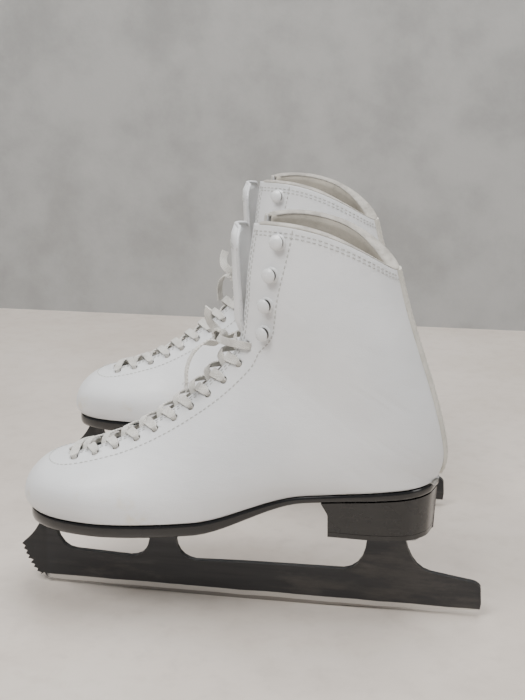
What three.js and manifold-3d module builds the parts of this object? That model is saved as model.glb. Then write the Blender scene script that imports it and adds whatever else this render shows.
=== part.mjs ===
// A pair of laced figure skates, standing side by side on their blades.
// Millimetres, +Z up, toes towards -X. The left skate stands at -Y and the right one at +Y.

import * as THREE from "three";
import { mergeVertices, mergeGeometries } from "three/addons/utils/BufferGeometryUtils.js";
import Module from "manifold-3d";

const wasm = await Module();
wasm.setup();
const { Manifold, Mesh: SolidMesh } = wasm;

// ---- Driving dimensions -------------------------------------------------------------------

const CLEARANCE = 0.3; // running gap between touching pieces
const LAYER_GAP = 0.6; // gap between curved layers, which are faceted differently

// boot
const SOLE_LENGTH = 252.5;
const BALL_WIDTH = 83; // across the outsole at the ball of the foot
const BOOT_HEIGHT = 187; // from the tread under the ball up to the collar's front corner
const UPPER_THICKNESS = 2.6;
const COUNTER_THICKNESS = 1.5;
const LINING_THICKNESS = 1.6;
const FOREFOOT_SOLE = 8; // outsole thickness
const SHANK_SOLE = 4.3;
const HEEL_SEAT_SOLE = 6;
const SOLE_LIP = 1; // outsole edge outside the upper
const FOREFOOT_SLOPE = 0.07; // the tread falls towards the toe, mm per mm
const HEEL_LIFT_THICKNESS = 3;
const THROAT_HALF_FOOT = 8.5; // half gap between the facings on the foot
const THROAT_HALF_COLLAR = 19; // and at the collar

// inner sole pieces
const SHANK_THICKNESS = 1.2;
const SHANK_WIDTH = 14;
const INSOLE_THICKNESS = 2.2;
const FOOTBED_THICKNESS = 3;

// blade
const BLADE_LENGTH = 290; // tip of the toe pick to the tail
const BLADE_THICKNESS = 4;
const TREAD_HEIGHT = 51; // ice to the tread under the ball
const HEEL_HEIGHT = 56; // ice to the underside of the heel
const RUNNER_HEIGHT = 23.5; // ice to the runner's top edge
const ROCKER_RADIUS = 2250;
const PLATE_THICKNESS = 3;

// lacing
const EYELETS = 11; // on each facing
const EYELET_HOLE = 4.6; // diameter
const EYELET_FROM_EDGE = 8.5;
const HOOKS = 4;
const HOOK_FROM_EDGE = 20;
const HOOK_HEAD = 8.4; // diameter
const LACE_DIAMETER = 2.6;

// tongue
const TONGUE_THICKNESS = 4;
const LACE_ROOM = 2.5; // spare depth between the facings and the tongue
const TONGUE_TOP_THICKNESS = 5;
const TONGUE_OPENING_GAP = 0.8; // each side of the loose tongue, between the facings

// screws
const SCREW_SHANK = 3.6; // diameter
const SCREW_HEAD = 7;
const SCREW_HEAD_HEIGHT = 1.6;
const SCREW_BITE = 5.5; // length in the sole or heel
const SCREW_HOLE = 4.2;

// how the pair stands
const PAIR_SPACING = 178; // from blade to blade
const RIGHT_FORWARD = 28; // the right skate stands this much further towards its toe
const RIGHT_TURN = 3.3; // degrees, toes turned away from the left skate

// ---- Outlines -----------------------------------------------------------------------------

// The boot is drawn on a last of these three sizes and stretched to the ones above.
const LAST = { length: 252.5, width: 83, height: 187 };
const along = (x) => (x * SOLE_LENGTH) / LAST.length;
const across = (y) => (y * BALL_WIDTH) / LAST.width;
const above = (z) => TREAD_HEIGHT + (z * BOOT_HEIGHT) / LAST.height;

// Sections through the boot, from the toe to the collar. Each one runs from the base, which is
// the edge of the sole and then the back seam, to the top, which is the front centre line.
// topX, topZ, baseX, baseZ (null on the sole), widest half, half at the base, where it is
// widest (0 base to 1 top), and the roundness of the part above that.
const SECTIONS = [
  [-134.5, 7.6, -134.5, null, 0, 0, 0.3, 2.4],
  [-137.0, 12, -132, null, 12, 11, 0.3, 2.3],
  [-136.5, 19, -126, null, 21.5, 20, 0.3, 2.3],
  [-132.5, 28, -114, null, 30.5, 29, 0.3, 2.3],
  [-124, 35.5, -97, null, 37.5, 36, 0.3, 2.25],
  [-110, 40.5, -76, null, 42, 40.5, 0.3, 2.2],
  [-92, 46, -50, null, 42.5, 40.5, 0.3, 2.05],
  [-73, 54.5, -22, null, 40.5, 36.5, 0.3, 1.9],
  [-54, 66, 6, null, 37.5, 30, 0.32, 1.85],
  [-36, 80, 32, null, 35.5, 26.5, 0.34, 1.85],
  [-21, 94, 58, null, 34, 26.5, 0.36, 1.9],
  [-11, 106, 82, null, 33, 27, 0.38, 1.95],
  [-5, 116, 102, null, 32.5, 23.5, 0.35, 2],
  [-3, 124, 113, null, 32.3, 14, 0.32, 2.05],
  [-2, 131, 117.5, null, 32.3, 0, 0.32, 2.1],
  [-1, 139, 121.5, 50, 32.8, 0, 0.36, 2.15],
  [0.5, 148, 119.5, 66, 33.8, 0, 0.4, 2.2],
  [1.5, 158, 113, 90, 34.6, 0, 0.43, 2.25],
  [2.5, 168, 105, 114, 34, 0, 0.44, 2.3],
  [3.5, 178, 97, 139, 32.2, 0, 0.45, 2.35],
  [4.5, 187, 91, 162, 30.5, 0, 0.45, 2.4],
];
const HEEL_SECTION = 14; // the rim of the upper leaves the sole here
const COLLAR_SECTION = SECTIONS.length - 1;
const COLLAR_BOW = 11; // the collar's edge arches this much over its two ends
const BOW_START = 16;
const THROAT_SECTION = 5.05; // where the facings part
const FIRST_EYELET = 5.45;
const LAST_EYELET = 13;
const HOOK_SECTIONS = [15.1, 16.7, 18.1, 19.4];
const TONGUE_FOLD_SECTION = 12.6;
const TOE_SWING = 4; // the toe leans this much to the inside of the foot
const INSIDE_SHARE = 0.93; // inner half of the ball, as a share of the outer half

// One column of SECTIONS at a section number that need not be whole.
function column(index, u) {
  const last = SECTIONS.length - 1;
  const at = Math.min(Math.max(u, 0), last);
  const i = Math.min(Math.floor(at), last - 1);
  const value = (k) => sectionValue(Math.min(Math.max(k, 0), last), index);
  const [a, b, c, d] = [value(i - 1), value(i), value(i + 1), value(i + 2)];
  const t = at - i;
  const slopeB = i === 0 ? c - b : (c - a) / 2;
  const slopeC = i === last - 1 ? c - b : (d - b) / 2;
  return hermite(b, slopeB, c, slopeC, t);
}

function sectionValue(k, index) {
  const row = SECTIONS[k];
  if (index !== 3) return row[index];
  const drawn = row[3] === null ? null : above(row[3]);
  return drawn ?? soleTop(along(row[2])) + LAYER_GAP;
}

function hermite(p0, m0, p1, m1, t) {
  const t2 = t * t;
  const t3 = t2 * t;
  return (2 * t3 - 3 * t2 + 1) * p0 + (t3 - 2 * t2 + t) * m0 + (3 * t2 - 2 * t3) * p1 + (t3 - t2) * m1;
}

// A smooth curve z(x) through knots of x, z and slope, straight outside them.
function profile(knots, x) {
  const first = knots[0];
  const last = knots[knots.length - 1];
  if (x <= first[0]) return first[1] + (x - first[0]) * first[2];
  if (x >= last[0]) return last[1] + (x - last[0]) * last[2];
  const i = knots.findIndex((knot) => x < knot[0]) - 1;
  const [a, b] = [knots[i], knots[i + 1]];
  const width = b[0] - a[0];
  return hermite(a[1], a[2] * width, b[1], b[2] * width, (x - a[0]) / width);
}

const BALL_X = along(-81);
const TREAD_END = along(-24);
const SEAT_FRONT = along(42);
const SEAT_BACK = along(118);
const treadAt = (x) => TREAD_HEIGHT + (x - BALL_X) * FOREFOOT_SLOPE;
const soleBottom = (x) =>
  profile(
    [
      [TREAD_END, treadAt(TREAD_END), FOREFOOT_SLOPE],
      [SEAT_FRONT, above(25.3), 0.12],
      [SEAT_BACK, above(32), 0.07],
    ],
    x,
  );
const soleTop = (x) =>
  soleBottom(x) +
  profile(
    [
      [TREAD_END, FOREFOOT_SOLE, 0],
      [SEAT_FRONT, SHANK_SOLE, 0],
      [SEAT_BACK, HEEL_SEAT_SOLE, 0],
    ],
    x,
  );

const insideShare = (u) => 1 - (1 - INSIDE_SHARE) * Math.exp(-(((u - 5.5) / 3.5) ** 2));
const swing = (u) => (u < 6 ? across(TOE_SWING) * (1 - u / 6) ** 2 : 0);

const LOWER_PART = 0.42; // share of a section's points that lie below its widest place

// A point of the boot's outside. a runs across from -1, at the base on the outer side of the
// foot, over 0 at the front centre line to 1, at the base on the inner side.
function bootSurface(u, a) {
  const top = new THREE.Vector2(along(column(0, u)), above(column(1, u)));
  const base = new THREE.Vector2(along(column(2, u)), column(3, u));
  const widest = across(column(4, u));
  const atBase = u > HEEL_SECTION ? 0 : across(Math.max(column(5, u), 0));
  const level = column(6, u);
  const round = column(7, u);
  const v = 1 - Math.abs(a);
  let g;
  let half;
  if (v < LOWER_PART) {
    const t = v / LOWER_PART;
    const flare = widest > 0 ? 1 - (atBase / widest) ** 2 : 0;
    const r = (1 - flare) * (1 - t) + flare * Math.cos((t * Math.PI) / 2);
    g = level * (1 - r);
    half = widest * Math.sqrt(Math.max(1 - flare * r * r, 0));
  } else {
    const angle = (((v - LOWER_PART) / (1 - LOWER_PART)) * Math.PI) / 2;
    g = level + (1 - level) * Math.sin(angle) ** (2 / round);
    half = widest * Math.max(Math.cos(angle), 0) ** (2 / round);
  }
  const rise = Math.max(u - BOW_START, 0) / (COLLAR_SECTION - BOW_START);
  const bow = COLLAR_BOW * rise ** 2 * 4 * g * (1 - g);
  const upwards = new THREE.Vector2(base.y - top.y, base.x - top.x).normalize();
  const place = base.lerp(top, g).addScaledVector(new THREE.Vector2(-upwards.x, upwards.y), bow);
  const share = a > 0 ? insideShare(u) : 1;
  return new THREE.Vector3(place.x, Math.sign(a) * share * half + swing(u), place.y);
}

function bootNormal(u, a) {
  const step = 0.01;
  const atU = Math.min(Math.max(u, 0.05), COLLAR_SECTION - step);
  const atA = Math.min(Math.max(a, -1 + step), 1 - step);
  const alongU = bootSurface(atU + step, atA).sub(bootSurface(atU - step, atA));
  const alongA = bootSurface(atU, atA + step).sub(bootSurface(atU, atA - step));
  const normal = alongU.cross(alongA);
  if (Math.abs(a) > 1 - 1e-6 && u > HEEL_SECTION - 1e-6) normal.y = 0;
  if (u < 1e-6) normal.set(-1, 0, 0);
  return normal.normalize();
}

// The boot's surface moved inwards by a depth, along its normal. Its rim stays on the sole.
function bootAt(u, a, depth) {
  const point = bootSurface(u, a).addScaledVector(bootNormal(u, a), -depth);
  if (Math.abs(a) > 1 - 1e-6 && u < HEEL_SECTION + 1e-6) point.z = soleTop(point.x) + LAYER_GAP;
  return point;
}

// How far round from the centre line, as a value of a, a distance along the leather lies.
function aroundTo(u, side, distance) {
  const step = 0.004;
  let a = 0;
  let walked = 0;
  let last = bootSurface(u, 0);
  while (walked < distance && a < 1 - step) {
    a += step;
    const next = bootSurface(u, side * a);
    walked += next.distanceTo(last);
    last = next;
  }
  return side * a;
}

// Half the gap between the facings. It starts round at the toe end and widens up the ankle.
function throatHalf(u) {
  const up = Math.min(Math.max((u - 8) / (COLLAR_SECTION - 8), 0), 1);
  const open = THROAT_HALF_FOOT + (THROAT_HALF_COLLAR - THROAT_HALF_FOOT) * up;
  const start = Math.min(Math.max((u - THROAT_SECTION) / 0.4, 0), 1);
  return open * Math.sqrt(1 - (1 - start) ** 2);
}

// ---- Solids -------------------------------------------------------------------------------

const range = (from, to, steps) =>
  Array.from({ length: steps + 1 }, (_, i) => from + ((to - from) * i) / steps);

// The skin of the solid between two surfaces that share one grid of u and a.
function skin(outer, inner, us, as) {
  const points = [];
  for (const surface of [outer, inner]) {
    for (const u of us) for (const a of as) points.push(surface(u, a));
  }
  const rows = us.length - 1;
  const cols = as.length - 1;
  const at = (layer, i, j) => (layer * (rows + 1) + i) * (cols + 1) + j;
  const quads = [];
  for (let i = 0; i < rows; i++) {
    for (let j = 0; j < cols; j++) {
      quads.push([at(0, i, j), at(0, i + 1, j), at(0, i + 1, j + 1), at(0, i, j + 1)]);
      quads.push([at(1, i, j), at(1, i, j + 1), at(1, i + 1, j + 1), at(1, i + 1, j)]);
    }
    quads.push([at(0, i + 1, 0), at(0, i, 0), at(1, i, 0), at(1, i + 1, 0)]);
    quads.push([at(0, i + 1, cols), at(1, i + 1, cols), at(1, i, cols), at(0, i, cols)]);
  }
  for (let j = 0; j < cols; j++) {
    quads.push([at(0, 0, j), at(0, 0, j + 1), at(1, 0, j + 1), at(1, 0, j)]);
    quads.push([at(0, rows, j + 1), at(0, rows, j), at(1, rows, j), at(1, rows, j + 1)]);
  }
  return { points, triangles: quads.flatMap(([p, q, r, s]) => [[p, q, r], [p, r, s]]) };
}

// Joins skins into one closed body. Equal corners become one, and where two walls lie face to
// face, as they do down the back seam, both go.
function closedBody(...skins) {
  const numbers = new Map();
  const corners = [];
  const kept = new Map();
  for (const { points, triangles } of skins) {
    const names = points.map((point) => {
      const key = point.toArray().map((value) => Math.round(value * 2000)).join();
      if (!numbers.has(key)) {
        numbers.set(key, corners.length);
        corners.push(point);
      }
      return numbers.get(key);
    });
    for (const triangle of triangles) {
      const [p, q, r] = triangle.map((i) => names[i]);
      if (p === q || q === r || r === p) continue;
      const key = [p, q, r].sort((x, y) => x - y).join();
      if (kept.has(key)) kept.delete(key);
      else kept.set(key, [p, q, r]);
    }
  }
  const geometry = new THREE.BufferGeometry();
  geometry.setAttribute("position", new THREE.Float32BufferAttribute(corners.flatMap((c) => c.toArray()), 3));
  geometry.setIndex([...kept.values()].flat());
  return geometry;
}

const slab = (outer, inner, us, as) => closedBody(skin(outer, inner, us, as));

function toSolid(geometry) {
  const bare = new THREE.BufferGeometry();
  bare.setAttribute("position", geometry.getAttribute("position").clone());
  bare.setIndex(geometry.getIndex());
  const welded = mergeVertices(bare, 1e-4);
  return new Manifold(
    new SolidMesh({
      numProp: 3,
      vertProperties: new Float32Array(welded.getAttribute("position").array),
      triVerts: new Uint32Array(welded.getIndex().array),
    }),
  );
}

function fromSolid(solid) {
  const mesh = solid.getMesh();
  const geometry = new THREE.BufferGeometry();
  geometry.setAttribute("position", new THREE.BufferAttribute(new Float32Array(mesh.vertProperties), 3));
  geometry.setIndex(new THREE.BufferAttribute(new Uint32Array(mesh.triVerts), 1));
  return geometry;
}

const cut = (geometry, ...cutters) =>
  fromSolid(cutters.reduce((solid, cutter) => solid.subtract(toSolid(cutter)), toSolid(geometry)));

// A round bar between two points.
function bar(from, to, diameter, sides) {
  const axis = to.clone().sub(from);
  const geometry = new THREE.CylinderGeometry(diameter / 2, diameter / 2, axis.length(), sides);
  const turn = new THREE.Quaternion().setFromUnitVectors(new THREE.Vector3(0, 1, 0), axis.normalize());
  const middle = from.clone().add(to).multiplyScalar(0.5);
  return geometry.applyQuaternion(turn).translate(middle.x, middle.y, middle.z);
}

// A turned piece standing on a point, along a direction. Its outline is [radius, height] pairs.
function turned(outline, at, direction, sides) {
  const points = outline.map(([radius, height]) => new THREE.Vector2(radius, height));
  const turn = new THREE.Quaternion().setFromUnitVectors(new THREE.Vector3(0, 1, 0), direction);
  return new THREE.LatheGeometry(points, sides).applyQuaternion(turn).translate(at.x, at.y, at.z);
}

// ---- Blade --------------------------------------------------------------------------------

const TOE_X = along(-134.5);
const PLATE_FRONT = TOE_X + 5;
const PLATE_BACK = along(-26);
const HEEL_PLATE_FRONT = along(60);
const HEEL_PLATE_BACK = along(109);
const CONTACT_X = -5; // where the rocker rests
const TIP_X = CONTACT_X - BLADE_LENGTH / 2 + 6.5;
const TAIL_X = TIP_X + BLADE_LENGTH;
const ROCKER_FACET = 24;
const PICK_TEETH = 8;

// Underside of the front plate, and of the heel plate.
const plateUnder = (x) => treadAt(x) - CLEARANCE - PLATE_THICKNESS;
const heelPlateUnder = HEEL_HEIGHT - CLEARANCE - PLATE_THICKNESS;

// The rocker is cut in flats, one of which lies on the ice.
function rockerPoints() {
  const points = [];
  const height = (k) => (((k + 0.5) ** 2 - 0.25) * ROCKER_FACET ** 2) / (2 * ROCKER_RADIUS);
  for (let k = -6; k <= 5; k++) {
    const x = CONTACT_X + (k + 0.5) * ROCKER_FACET;
    if (x > TIP_X + 17 && x < TAIL_X - 2) points.push([x, height(k)]);
  }
  return points;
}

const rockerHeight = (x) => (x - CONTACT_X) ** 2 / (2 * ROCKER_RADIUS);

// Saw teeth down the front of the pick, from its tip to the drag tooth.
function pickTeeth() {
  const front = new THREE.QuadraticBezierCurve(
    new THREE.Vector2(TIP_X, 25.5),
    new THREE.Vector2(TIP_X + 3, 13),
    new THREE.Vector2(TIP_X + 11.5, 4.5),
  );
  const points = [];
  for (let tooth = 0; tooth < PICK_TEETH; tooth++) {
    const crest = front.getPoint(tooth / (PICK_TEETH - 1));
    points.push([crest.x, crest.y]);
    if (tooth === PICK_TEETH - 1) break;
    const valley = front.getPoint((tooth + 0.62) / (PICK_TEETH - 1));
    const depth = tooth === 3 ? 2.6 : 1.6;
    points.push([valley.x + depth, valley.y + depth * 0.45]);
  }
  return points;
}

function runnerShape() {
  const shape = new THREE.Shape();
  const seat = (x) => plateUnder(x) - CLEARANCE;
  const heelSeat = heelPlateUnder - CLEARANCE;
  const top = RUNNER_HEIGHT;
  const pickColumn = PLATE_FRONT + 8;
  const front = [along(-60), along(-42)]; // front stanchion
  const rear = [along(78), along(99)]; // rear stanchion
  shape.moveTo(PLATE_FRONT, seat(PLATE_FRONT));
  shape.quadraticCurveTo(PLATE_FRONT - 4, 34, TIP_X, 25.5);
  for (const [x, z] of pickTeeth().slice(1)) shape.lineTo(x, z);
  shape.lineTo(TIP_X + 14, 6.5);
  shape.lineTo(TIP_X + 16, rockerHeight(TIP_X + 16));
  for (const [x, z] of rockerPoints()) shape.lineTo(x, z);
  shape.lineTo(TAIL_X - 0.6, rockerHeight(TAIL_X));
  shape.lineTo(TAIL_X, rockerHeight(TAIL_X) + 4);
  shape.lineTo(TAIL_X - 0.6, top - 4);
  shape.quadraticCurveTo(TAIL_X - 2, top - 0.5, TAIL_X - 9, top);
  shape.lineTo(TAIL_X - 31, top + 3.5);
  shape.quadraticCurveTo(rear[1] + 5, top + 6, rear[1] + 1, heelSeat - 5);
  shape.lineTo(rear[1] + 5, heelSeat);
  shape.lineTo(rear[0] - 5, heelSeat);
  shape.lineTo(rear[0] - 1, heelSeat - 6);
  shape.quadraticCurveTo(rear[0] - 2, top + 3.5, rear[0] - 15, top + 1.5);
  shape.lineTo(front[1] + 42, top + 0.5);
  shape.lineTo(front[1] + 12, top - 0.5);
  shape.quadraticCurveTo(front[1] + 1, top + 1, front[1], top + 12);
  shape.lineTo(front[1] + 7, seat(front[1] + 7));
  shape.lineTo(front[0] - 7, seat(front[0] - 7));
  shape.lineTo(front[0] + 1, top + 12);
  shape.quadraticCurveTo(front[0] - 1, top - 0.5, front[0] - 12, top - 1);
  shape.lineTo(pickColumn + 14, top + 0.5);
  shape.quadraticCurveTo(pickColumn + 2, top + 1, pickColumn, seat(pickColumn));
  shape.closePath();
  return shape;
}

function runner() {
  const settings = { depth: BLADE_THICKNESS, bevelEnabled: false, curveSegments: 5 };
  const geometry = new THREE.ExtrudeGeometry(runnerShape(), settings);
  return geometry.rotateX(Math.PI / 2).translate(0, BLADE_THICKNESS / 2, 0);
}

const SOLE_SCREWS = [
  [along(-104), across(11)],
  [along(-104), -across(11)],
  [along(-40), across(11)],
  [along(-40), -across(11)],
];
const HEEL_SCREWS = [
  [along(86), across(11)],
  [along(86), -across(11)],
];
const treadTilt = Math.atan(FOREFOOT_SLOPE);

// A flat plate with round ends and screw holes, drawn in plan.
function plate(front, back, frontHalf, backHalf, screws) {
  const shape = new THREE.Shape();
  const middle = front + (back - front) * 0.35;
  const widest = Math.max(frontHalf, backHalf) * 1.2;
  shape.moveTo(front, -frontHalf * 0.5);
  shape.quadraticCurveTo(front + 2, -frontHalf, front + 9, -frontHalf);
  shape.quadraticCurveTo(middle, -widest, back - 9, -backHalf);
  shape.quadraticCurveTo(back, -backHalf, back, -backHalf * 0.4);
  shape.lineTo(back, backHalf * 0.4);
  shape.quadraticCurveTo(back, backHalf, back - 9, backHalf);
  shape.quadraticCurveTo(middle, widest, front + 9, frontHalf);
  shape.quadraticCurveTo(front + 2, frontHalf, front, frontHalf * 0.5);
  shape.closePath();
  for (const [x, y] of screws) {
    shape.holes.push(new THREE.Path().absarc(x, y, SCREW_HOLE / 2, 0, Math.PI * 2, true));
  }
  return new THREE.ExtrudeGeometry(shape, { depth: PLATE_THICKNESS, bevelEnabled: false, curveSegments: 4 });
}

function solePlate() {
  const holes = SOLE_SCREWS.map(([x, y]) => [(x - BALL_X) / Math.cos(treadTilt), y]);
  const local = (x) => (x - BALL_X) / Math.cos(treadTilt);
  const geometry = plate(local(PLATE_FRONT), local(PLATE_BACK), across(10), across(16), holes);
  return geometry.rotateY(-treadTilt).translate(BALL_X, 0, plateUnder(BALL_X));
}

const heelPlate = () =>
  plate(HEEL_PLATE_FRONT, HEEL_PLATE_BACK, across(17), across(15), HEEL_SCREWS).translate(0, 0, heelPlateUnder);

// A screw's head lies under its plate, and its shank goes up through the plate into the boot.
function screwAt([x, y], under, up) {
  const shank = CLEARANCE * 2 + PLATE_THICKNESS + SCREW_BITE;
  const outline = [
    [0, -SCREW_HEAD_HEIGHT],
    [SCREW_HEAD * 0.35, -SCREW_HEAD_HEIGHT],
    [SCREW_HEAD / 2, -SCREW_HEAD_HEIGHT * 0.3],
    [SCREW_HEAD / 2, 0],
    [SCREW_SHANK / 2, 0],
    [SCREW_SHANK / 2, shank],
    [0, shank],
  ];
  return turned(outline, new THREE.Vector3(x, y, under - CLEARANCE), up, 8);
}

const treadUp = new THREE.Vector3(-Math.sin(treadTilt), 0, Math.cos(treadTilt));
const upright = new THREE.Vector3(0, 0, 1);

function screwHole([x, y], under, up) {
  const seat = new THREE.Vector3(x, y, under);
  const depth = PLATE_THICKNESS + CLEARANCE + SCREW_BITE + 0.6;
  return bar(seat.clone().addScaledVector(up, -4), seat.clone().addScaledVector(up, depth), SCREW_HOLE, 8);
}

// ---- Sole and heel ------------------------------------------------------------------------

// The sole's outline at a section, moved outwards.
function rim(u, side, outset) {
  const point = (at) => {
    const half = across(Math.max(column(5, at), 0)) * (side > 0 ? insideShare(at) : 1);
    return new THREE.Vector2(along(column(2, at)), side * half + swing(at));
  };
  const step = 0.01;
  const low = Math.max(u - step, 0);
  const high = Math.min(u + step, HEEL_SECTION);
  const tangent = point(high).sub(point(low)).normalize();
  const outward = new THREE.Vector2(-tangent.y, tangent.x).multiplyScalar(side);
  return point(u).addScaledVector(outward, outset);
}

// A layer of the sole, from its underside to its top, as functions of x.
function soleLayer(under, top, outset, us, crossSteps) {
  const place = (height) => (u, a) => {
    const outer = rim(u, -1, outset);
    const inner = rim(u, 1, outset);
    const point = outer.lerp(inner, (a + 1) / 2);
    return new THREE.Vector3(point.x, point.y, height(point.x));
  };
  return slab(place(top), place(under), us, range(-1, 1, crossSteps));
}

const ENDS_EASED = (from, to, steps) =>
  range(0, 1, steps).map((t) => from + (to - from) * (t - 0.6 * (Math.sin(2 * Math.PI * t) / (2 * Math.PI))));
const SOLE_SECTIONS = ENDS_EASED(0, HEEL_SECTION, 32);

function outsole() {
  const layer = soleLayer(soleBottom, soleTop, SOLE_LIP, SOLE_SECTIONS, 4);
  const front = SOLE_SCREWS.map((screw) => screwHole(screw, plateUnder(screw[0]), treadUp));
  return cut(layer, ...front);
}

const shankUnder = (x) => soleTop(x) + LAYER_GAP;
const shankTop = (x) => shankUnder(x) + SHANK_THICKNESS;
const insoleUnder = (x) => shankTop(x) + LAYER_GAP;
const insoleTop = (x) => insoleUnder(x) + INSOLE_THICKNESS;
const footbedUnder = (x) => insoleTop(x) + LAYER_GAP;
const footbedTop = (x) => footbedUnder(x) + FOOTBED_THICKNESS;
const INNER_EDGE = UPPER_THICKNESS + COUNTER_THICKNESS + LINING_THICKNESS + 2 * LAYER_GAP + 1.2;

function shank() {
  const from = along(-30);
  const to = along(88);
  const place = (height) => (x, y) => new THREE.Vector3(x, (y * SHANK_WIDTH) / 2, height(x));
  return slab(place(shankTop), place(shankUnder), range(from, to, 18), [-1, 1]);
}

const insole = () =>
  soleLayer(insoleUnder, insoleTop, -INNER_EDGE, ENDS_EASED(0.4, 13.6, 34), 2);
const footbed = () =>
  soleLayer(footbedUnder, footbedTop, -INNER_EDGE - 0.4, ENDS_EASED(0.45, 13.55, 34), 2);

const HEEL_FRONT_SECTION = 9.75;
const HEEL_SECTIONS = ENDS_EASED(HEEL_FRONT_SECTION, HEEL_SECTION, 9);
const HEEL_TAPER = 1.5;
const HEEL_RAKE = 4; // the breast leans back towards the ground

// The heel is drawn from the sole's outline and tapers to the ground.
function heelBlock(under, top) {
  const reach = (x) => soleBottom(x) - CLEARANCE;
  const place = (height) => (u, a) => {
    const point = rim(u, -1, 0).lerp(rim(u, 1, 0), (a + 1) / 2);
    const down = (reach(point.x) - height(point.x)) / (reach(point.x) - HEEL_HEIGHT);
    const lean = u < HEEL_FRONT_SECTION + 0.01 ? HEEL_RAKE * Math.min(down * 3, 1) : 0;
    const inner = rim(u, -1, -HEEL_TAPER * down).lerp(rim(u, 1, -HEEL_TAPER * down), (a + 1) / 2);
    return new THREE.Vector3(inner.x + lean, inner.y, height(point.x));
  };
  return slab(place(top), place(under), HEEL_SECTIONS, range(-1, 1, 2));
}

const liftTop = HEEL_HEIGHT + HEEL_LIFT_THICKNESS;

function heel() {
  const block = heelBlock(() => liftTop + CLEARANCE, (x) => soleBottom(x) - CLEARANCE);
  return cut(block, ...HEEL_SCREWS.map((screw) => screwHole(screw, heelPlateUnder, upright)));
}

// The lift is a flat sheet, cut to the foot of the heel.
function heelLift() {
  const edge = (side) => HEEL_SECTIONS.slice(1).map((u) => rim(u, side, -HEEL_TAPER));
  const breast = [1, -1].map((side) => rim(HEEL_FRONT_SECTION, side, -HEEL_TAPER));
  breast.forEach((corner) => (corner.x += HEEL_RAKE));
  const outline = [...breast, ...edge(-1), ...edge(1).slice(0, -1).reverse()];
  const shape = new THREE.Shape(outline.map(({ x, y }) => new THREE.Vector2(x, y)));
  for (const [x, y] of HEEL_SCREWS) {
    shape.holes.push(new THREE.Path().absarc(x, y, SCREW_HOLE / 2, 0, Math.PI * 2, true));
  }
  const settings = { depth: HEEL_LIFT_THICKNESS, bevelEnabled: false, curveSegments: 6 };
  return new THREE.ExtrudeGeometry(shape, settings).translate(0, 0, HEEL_HEIGHT);
}

// ---- Upper --------------------------------------------------------------------------------

const EYELET_SECTIONS = eyeletSections();

// Section numbers that part the front line into equal steps from the first to the last eyelet.
function eyeletSections() {
  const fine = range(FIRST_EYELET, LAST_EYELET, 200);
  const lengths = [0];
  for (let i = 1; i < fine.length; i++) {
    const step = bootSurface(fine[i], 0).distanceTo(bootSurface(fine[i - 1], 0));
    lengths.push(lengths[i - 1] + step);
  }
  const total = lengths[lengths.length - 1];
  return range(0, total, EYELETS - 1).map((wanted) => {
    const i = lengths.findIndex((length) => length >= wanted - 1e-9);
    return fine[i];
  });
}

const eyeletAround = (u, side) => aroundTo(u, side, throatHalf(u) + EYELET_FROM_EDGE);

function throatCutter() {
  const depth = 16;
  const us = [...range(THROAT_SECTION, THROAT_SECTION + 0.4, 5), ...range(6, COLLAR_SECTION, 14)];
  const line = (u) => {
    const at = Math.min(u, COLLAR_SECTION);
    const top = bootSurface(at, 0);
    const base = bootSurface(at, 1);
    const outward = top.clone().sub(base).setY(0).normalize();
    const past = new THREE.Vector3(-0.1, 0, 1).multiplyScalar((u - at) * 10);
    return { top: top.add(past), outward };
  };
  const place = (offset) => (u, a) => {
    const { top, outward } = line(u);
    const half = Math.max(throatHalf(Math.min(u, COLLAR_SECTION)), 0.05);
    return top.clone().addScaledVector(outward, offset).add(new THREE.Vector3(0, a * half, 0));
  };
  return slab(place(depth), place(-depth), [...us, COLLAR_SECTION + 1], [-1, 1]);
}

// The layers of the boot share one grid, so that their facets lie parallel.
const BOOT_SECTIONS = [
  ...range(0, 1.5, 4),
  ...range(2, 13.3, 17),
  HEEL_SECTION - 0.35,
  HEEL_SECTION,
  HEEL_SECTION + 0.35,
  ...range(14.75, COLLAR_SECTION, 7),
];
const OUTER_SIDE = [-1, -0.88, -0.76, -0.64, -0.52, -0.4, -0.28, -0.14];
const INNER_SIDE = OUTER_SIDE.map((a) => -a).reverse();
const sectionsFrom = (from, to) => BOOT_SECTIONS.filter((u) => u >= from && u <= to);

function upper() {
  const shell = layerOfBoot(0, UPPER_THICKNESS, BOOT_SECTIONS, [[...OUTER_SIDE, 0, ...INNER_SIDE]]);
  const holes = [];
  for (const side of [-1, 1]) {
    for (const u of EYELET_SECTIONS) {
      const a = eyeletAround(u, side);
      holes.push(bar(bootAt(u, a, 6), bootAt(u, a, -3), EYELET_HOLE, 6));
    }
  }
  return cut(shell, throatCutter(), mergeGeometries(holes.map(bare)));
}

// A geometry's places only, so that it can be merged with others.
function bare(geometry) {
  const plain = geometry.index ? geometry.toNonIndexed() : geometry;
  const result = new THREE.BufferGeometry();
  return result.setAttribute("position", plain.getAttribute("position"));
}

function layerOfBoot(depth, thickness, us, bands) {
  return closedBody(
    ...bands.map((as) => skin((u, a) => bootAt(u, a, depth), (u, a) => bootAt(u, a, depth + thickness), us, as)),
  );
}

const COUNTER_DEPTH = UPPER_THICKNESS + LAYER_GAP;
const LINING_DEPTH = COUNTER_DEPTH + COUNTER_THICKNESS + LAYER_GAP;

function lining() {
  const bands = [OUTER_SIDE.slice(0, 5), INNER_SIDE.slice(-5)];
  return layerOfBoot(LINING_DEPTH, LINING_THICKNESS, sectionsFrom(5, COLLAR_SECTION), bands);
}

function heelCounter() {
  const around = [...INNER_SIDE.slice(-4), ...OUTER_SIDE.slice(1, 4)];
  return layerOfBoot(COUNTER_DEPTH, COUNTER_THICKNESS, sectionsFrom(HEEL_SECTION, 17.5), [around]);
}

const BACKSTAY_THICKNESS = 1.1;
const BACKSTAY_REACH = 0.055; // how far it goes to each side of the back seam, as a share of a

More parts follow.
